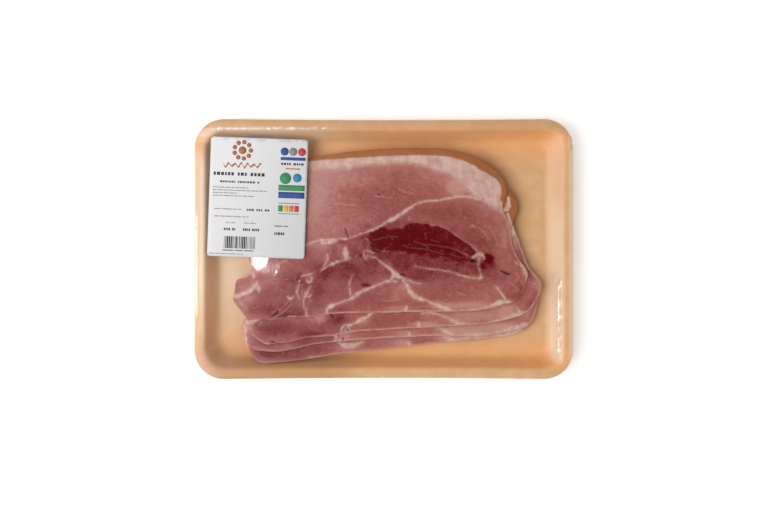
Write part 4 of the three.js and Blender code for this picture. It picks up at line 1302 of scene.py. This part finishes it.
def point_normals(points, faces):
    """The outward normal at each point of a surface of triangles and quads."""
    normals = np.zeros(points.shape)
    for size in (3, 4):
        group = np.array([f for f in faces if len(f) == size])
        corner = points[group]
        face = np.cross(corner[:, 2] - corner[:, 0], corner[:, -1] - corner[:, 1])
        for k in range(size):
            np.add.at(normals, group[:, k], face)
    return normals / np.maximum(np.linalg.norm(normals, axis=1), 1e-9)[:, None]


# ---------------------------------------------------------------- label


def on_label(points):
    """Points (across, up) on the label, from its centre, as places (x, y, z) on the film."""
    points = np.asarray(points, float)
    c, s = math.cos(LABEL_TURN), math.sin(LABEL_TURN)
    x = LABEL_CENTRE[0] + points[:, 0] * c - points[:, 1] * s
    y = LABEL_CENTRE[1] + points[:, 0] * s + points[:, 1] * c
    return np.c_[x, y, FILM_TOP + LABEL_LIFT - film_dip(x, y)]


def make_label():
    """The paper label: a thin sheet with round corners that follows the film."""
    ring = np.vstack(corner_arcs(LABEL_SIZE[0] / 2, LABEL_SIZE[1] / 2, LABEL_CORNER, 6))
    ring = resampled(ring, 1.5, closed=True)
    inner = deeper(scattered(ring.min(0), ring.max(0), 2.5, 45), ring, 1.0)
    flat = np.vstack([ring, inner])
    low = on_label(flat)
    high = low + (0, 0, LABEL_THICKNESS)
    upper = filled(ring, inner)
    lower = upper[:, ::-1] + len(flat)
    faces = upper.tolist() + lower.tolist() + ring_faces(0, len(flat), len(ring))
    # painted shade: the label darker towards its lower right
    shade = smoothstep(-50, 65, flat[:, 0] - 0.3 * flat[:, 1])
    values = {"shade": np.r_[shade, shade]}
    piece("paper_label", np.vstack([high, low]), faces, [paper_material()], ["label"], values)


INKS = {
    "black": "222228", "grey": "85858c", "copper": "b06a3e", "blue": "1e4a94", "red": "c8303a",
    "green": "2f8f52", "teal": "1d86a8", "yellow": "e2b63a", "orange": "dd7a34",
    "white": "e9e9eb",
}
# The print, in millimetres from the label's centre. Discs: across, up, radius, ink
DISCS = [
    (19.4, 36.0, 3.1, "blue"), (26.0, 36.0, 3.1, "grey"), (32.6, 36.0, 3.1, "red"),
    (20.6, 15.6, 4.4, "green"), (29.6, 16.2, 3.4, "teal"),
]
# Bars: left, right, middle, height, ink
BARS = [
    (16.5, 35.5, 30.6, 2.4, "blue"), (20.5, 31.5, 23.0, 0.8, "red"),
    (15.5, 35.5, 8.4, 4.4, "green"), (15.5, 35.5, 2.9, 4.8, "blue"),
    (15.7, 31.5, -3.4, 0.7, "grey"), (15.7, 31.5, -11.4, 0.6, "grey"),
    (15.7, 19.2, -7.4, 4.6, "green"), (19.8, 23.3, -7.4, 4.6, "yellow"),
    (23.9, 27.4, -7.4, 4.6, "orange"), (28.0, 31.5, -7.4, 4.6, "red"),
]
# Lines that stand for text: left, right, middle, height, ink, longest dash, seed, most dashes in a word
TEXT_LINES = [
    (-34, 7, 17.6, 4.4, "black", 2.7, 3, 6), (-29, 2, 11.6, 2.6, "black", 1.8, 5, 8),
    (17, 36, 26.6, 3.0, "black", 1.9, 21, 7),
    (-32.5, -11.5, -9.3, 1.5, "grey", 1.0, 31, 7), (-8, 11, -9.4, 2.7, "black", 1.75, 33, 3),
    (-32.5, -6.5, -14.9, 1.6, "grey", 1.0, 35, 7),
    (-23.5, -16, -19.6, 1.4, "grey", 0.9, 37, 7), (-10, -0.5, -19.6, 1.4, "grey", 0.9, 38, 7),
    (-25, -15.5, -24.6, 3.4, "black", 1.35, 39, 4), (-10.5, 2.5, -24.6, 3.4, "black", 1.35, 40, 4),
    (13.5, 24, -21.0, 1.7, "black", 1.0, 41, 7), (13.5, 24, -26.8, 3.8, "black", 1.7, 43, 7),
    (-25.5, -1, -40.7, 1.7, "black", 1.1, 45, 7),
]
# Lines of very small text: left, right, middle, height, ink, seed
FINE_LINES = [
    (-34.5, -7, 7.2, 0.6, "grey", 7), (-34.5, 7, 5.1, 0.6, "grey", 8), (-34.5, -16, 3.0, 0.6, "grey", 9),
    (-34.5, -3, 0.9, 0.6, "grey", 10), (-36, -9, -43.4, 0.6, "grey", 47),
    (17.5, 33.5, 3.2, 0.7, "white", 23),
]


class Print:
    """The label's print: thin plates of ink in one mesh, each a strip or a disc."""

    def __init__(self):
        self.points, self.faces, self.looks = [], [], []

    def plate(self, outline_pairs, ink):
        """A strip through pairs of points, one on each of its sides."""
        lower, upper = (np.array(side, float) for side in zip(*outline_pairs))
        first = sum(len(p) for p in self.points)
        count = len(lower)
        base = on_label(np.vstack([lower, upper])) + (0, 0, LABEL_THICKNESS)
        self.points.append(np.vstack([base + (0, 0, INK_TOP), base + (0, 0, INK_BASE)]))
        around = np.r_[np.arange(count), np.arange(2 * count - 1, count - 1, -1)]
        quads = []
        for k in range(count - 1):
            quad = np.array([k, k + 1, count + k + 1, count + k])
            quads += [quad, 2 * count + quad[::-1]]
        for a, b in zip(around, np.roll(around, -1)):
            quads.append(np.array([a, 2 * count + a, 2 * count + b, b]))
        self.faces += [(first + quad).tolist() for quad in quads]
        self.looks += [list(INKS).index(ink)] * len(quads)

    def bar(self, left, right, middle, height, ink):
        steps = max(2, int((right - left) / 4) + 2)
        low, high = middle - height / 2, middle + height / 2
        self.plate([((a, low), (a, high)) for a in np.linspace(left, right, steps)], ink)

    def disc(self, across, up, radius, ink):
        pairs = []
        for t in np.linspace(0.02, math.pi - 0.02, 13):
            a, rise = across - radius * math.cos(t), radius * math.sin(t)
            pairs.append(((a, up - rise), (a, up + rise)))
        self.plate(pairs, ink)

    def dashes(self, left, right, middle, height, ink, width, seed, word=7):
        """A line that stands for text: dashes of random length, with a gap after each few of them."""
        random = np.random.default_rng(seed)
        at, left_in_word = left, random.integers(3, word + 1)
        while at + width <= right:
            dash = width * random.uniform(0.45, 1.0)
            self.bar(at, at + dash, middle, 0.55 * height, ink)
            at += dash + 0.3 * width
            left_in_word -= 1
            if left_in_word == 0:
                at += 0.8 * width
                left_in_word = random.integers(3, word + 1)

    def fine_line(self, left, right, middle, height, ink, seed):
        """A line of very small text as short dashes."""
        random = np.random.default_rng(seed)
        at = left
        while at < right - 1:
            word = random.uniform(1.5, 5)
            self.bar(at, min(at + word, right), middle, height, ink)
            at += word + 0.6

    def stripes(self, left, right, middle, height, ink, seed):
        """A plain striped code."""
        random = np.random.default_rng(seed)
        at = left
        while at < right:
            width = random.choice([0.35, 0.35, 0.7, 1.05])
            self.bar(at, at + width, middle, height, ink)
            at += width + random.choice([0.35, 0.35, 0.7])

    def ornament(self, across, up, ink):
        """A ring of discs round a larger one, over a wavy line."""
        for k in range(9):
            angle = k * math.tau / 9
            self.disc(across + 6.3 * math.cos(angle), up + 6.3 * math.sin(angle), 1.75, ink)
        self.disc(across, up, 3.0, ink)
        wave = np.linspace(-27, 2, 70)
        height = up - 11.4 + 1.9 * np.sin(wave * 1.3) * (0.7 + 0.3 * np.sin(wave * 0.4))
        half = 0.75 + 0.3 * np.cos(wave * 1.3)
        self.plate([((a, h - w), (a, h + w)) for a, h, w in zip(wave, height, half)], ink)


def make_print():
    """Generic print: an ornament, lines that stand for text, coloured badges and a plain striped code."""
    ink = Print()
    ink.ornament(-12.7, 35.8, "copper")
    for disc in DISCS:
        ink.disc(*disc)
    for bar in BARS:
        ink.bar(*bar)
    for line in TEXT_LINES:
        ink.dashes(*line)
    for line in FINE_LINES:
        ink.fine_line(*line)
    ink.stripes(-24.5, -1.2, -34.6, 9.2, "black", 77)
    inks = [ink_material(name, colour) for name, colour in INKS.items()]
    piece("label_print", np.vstack(ink.points), ink.faces, inks, looks=ink.looks)


# ---------------------------------------------------------------- studio


def make_camera():
    """The camera straight over the pack, with the photograph's frame."""
    data = bpy.data.cameras.new("camera")
    data.sensor_width = SENSOR
    data.lens = SENSOR * LENS_HEIGHT / (PHOTO_SIZE[0] * PIXEL)
    data.clip_start, data.clip_end = 0.01, 20
    camera = bpy.data.objects.new("camera", data)
    camera.location = (LENS_PLACE[0] * MM, LENS_PLACE[1] * MM, (RIM_TOP + LENS_HEIGHT) * MM)
    bpy.context.scene.collection.objects.link(camera)
    bpy.context.scene.camera = camera


def soft_light(name, place, aim, size, power, colour=(1, 1, 1)):
    """A flat soft light of that size (metres, two ways) at a place, turned to the point it aims at."""
    data = bpy.data.lights.new(name, "AREA")
    data.shape = "ELLIPSE"
    data.size, data.size_y = size
    data.energy = power
    data.color = colour
    light = bpy.data.objects.new(name, data)
    light.location = place
    light.rotation_euler = (Vector(aim) - Vector(place)).to_track_quat("-Z", "Y").to_euler()
    bpy.context.scene.collection.objects.link(light)


def make_world():
    """White light from all sides, with a dark ceiling over the camera that the film mirrors."""
    world = bpy.data.worlds.new("studio")
    bpy.context.scene.world = world
    world.use_nodes = True
    tree = world.node_tree
    background = tree.nodes["Background"]
    background.inputs["Color"].default_value = (1, 1, 1, 1)
    direction = node(tree, "ShaderNodeTexCoord").outputs["Generated"]
    height = node(tree, "ShaderNodeSeparateXYZ", {0: direction}).outputs["Z"]
    tree.links.new(stepped(tree, height, 0.75, 0.95, 0.62, 0.0), background.inputs["Strength"])


def make_studio():
    """A pale floor, a large soft light from the left, and two that the film mirrors."""
    bpy.ops.mesh.primitive_grid_add(x_subdivisions=8, y_subdivisions=8, size=6, location=(0, 0, -0.0003))
    floor = bpy.context.object
    floor.name = "floor"
    floor.data.materials.append(floor_material())
    soft_light("key", (-0.85, -0.3, 1.3), (0, 0, 0), (1.2, 1.2), 14.5, (1, 0.99, 0.97))
    soft_light("veil", (-0.66, 0.12, 1.9), (0, 0, 0), (0.96, 0.85), 4.8, (0.93, 0.97, 1))
    soft_light("glint", (-0.1995, -0.003, 1.9), (-0.093, -0.01, 0.02), (0.012, 0.013), 0.34)
    make_world()
    bpy.context.scene.view_settings.view_transform = "Standard"


make_camera()
make_tray()
make_slices()
make_film()
make_label()
make_print()
make_studio()
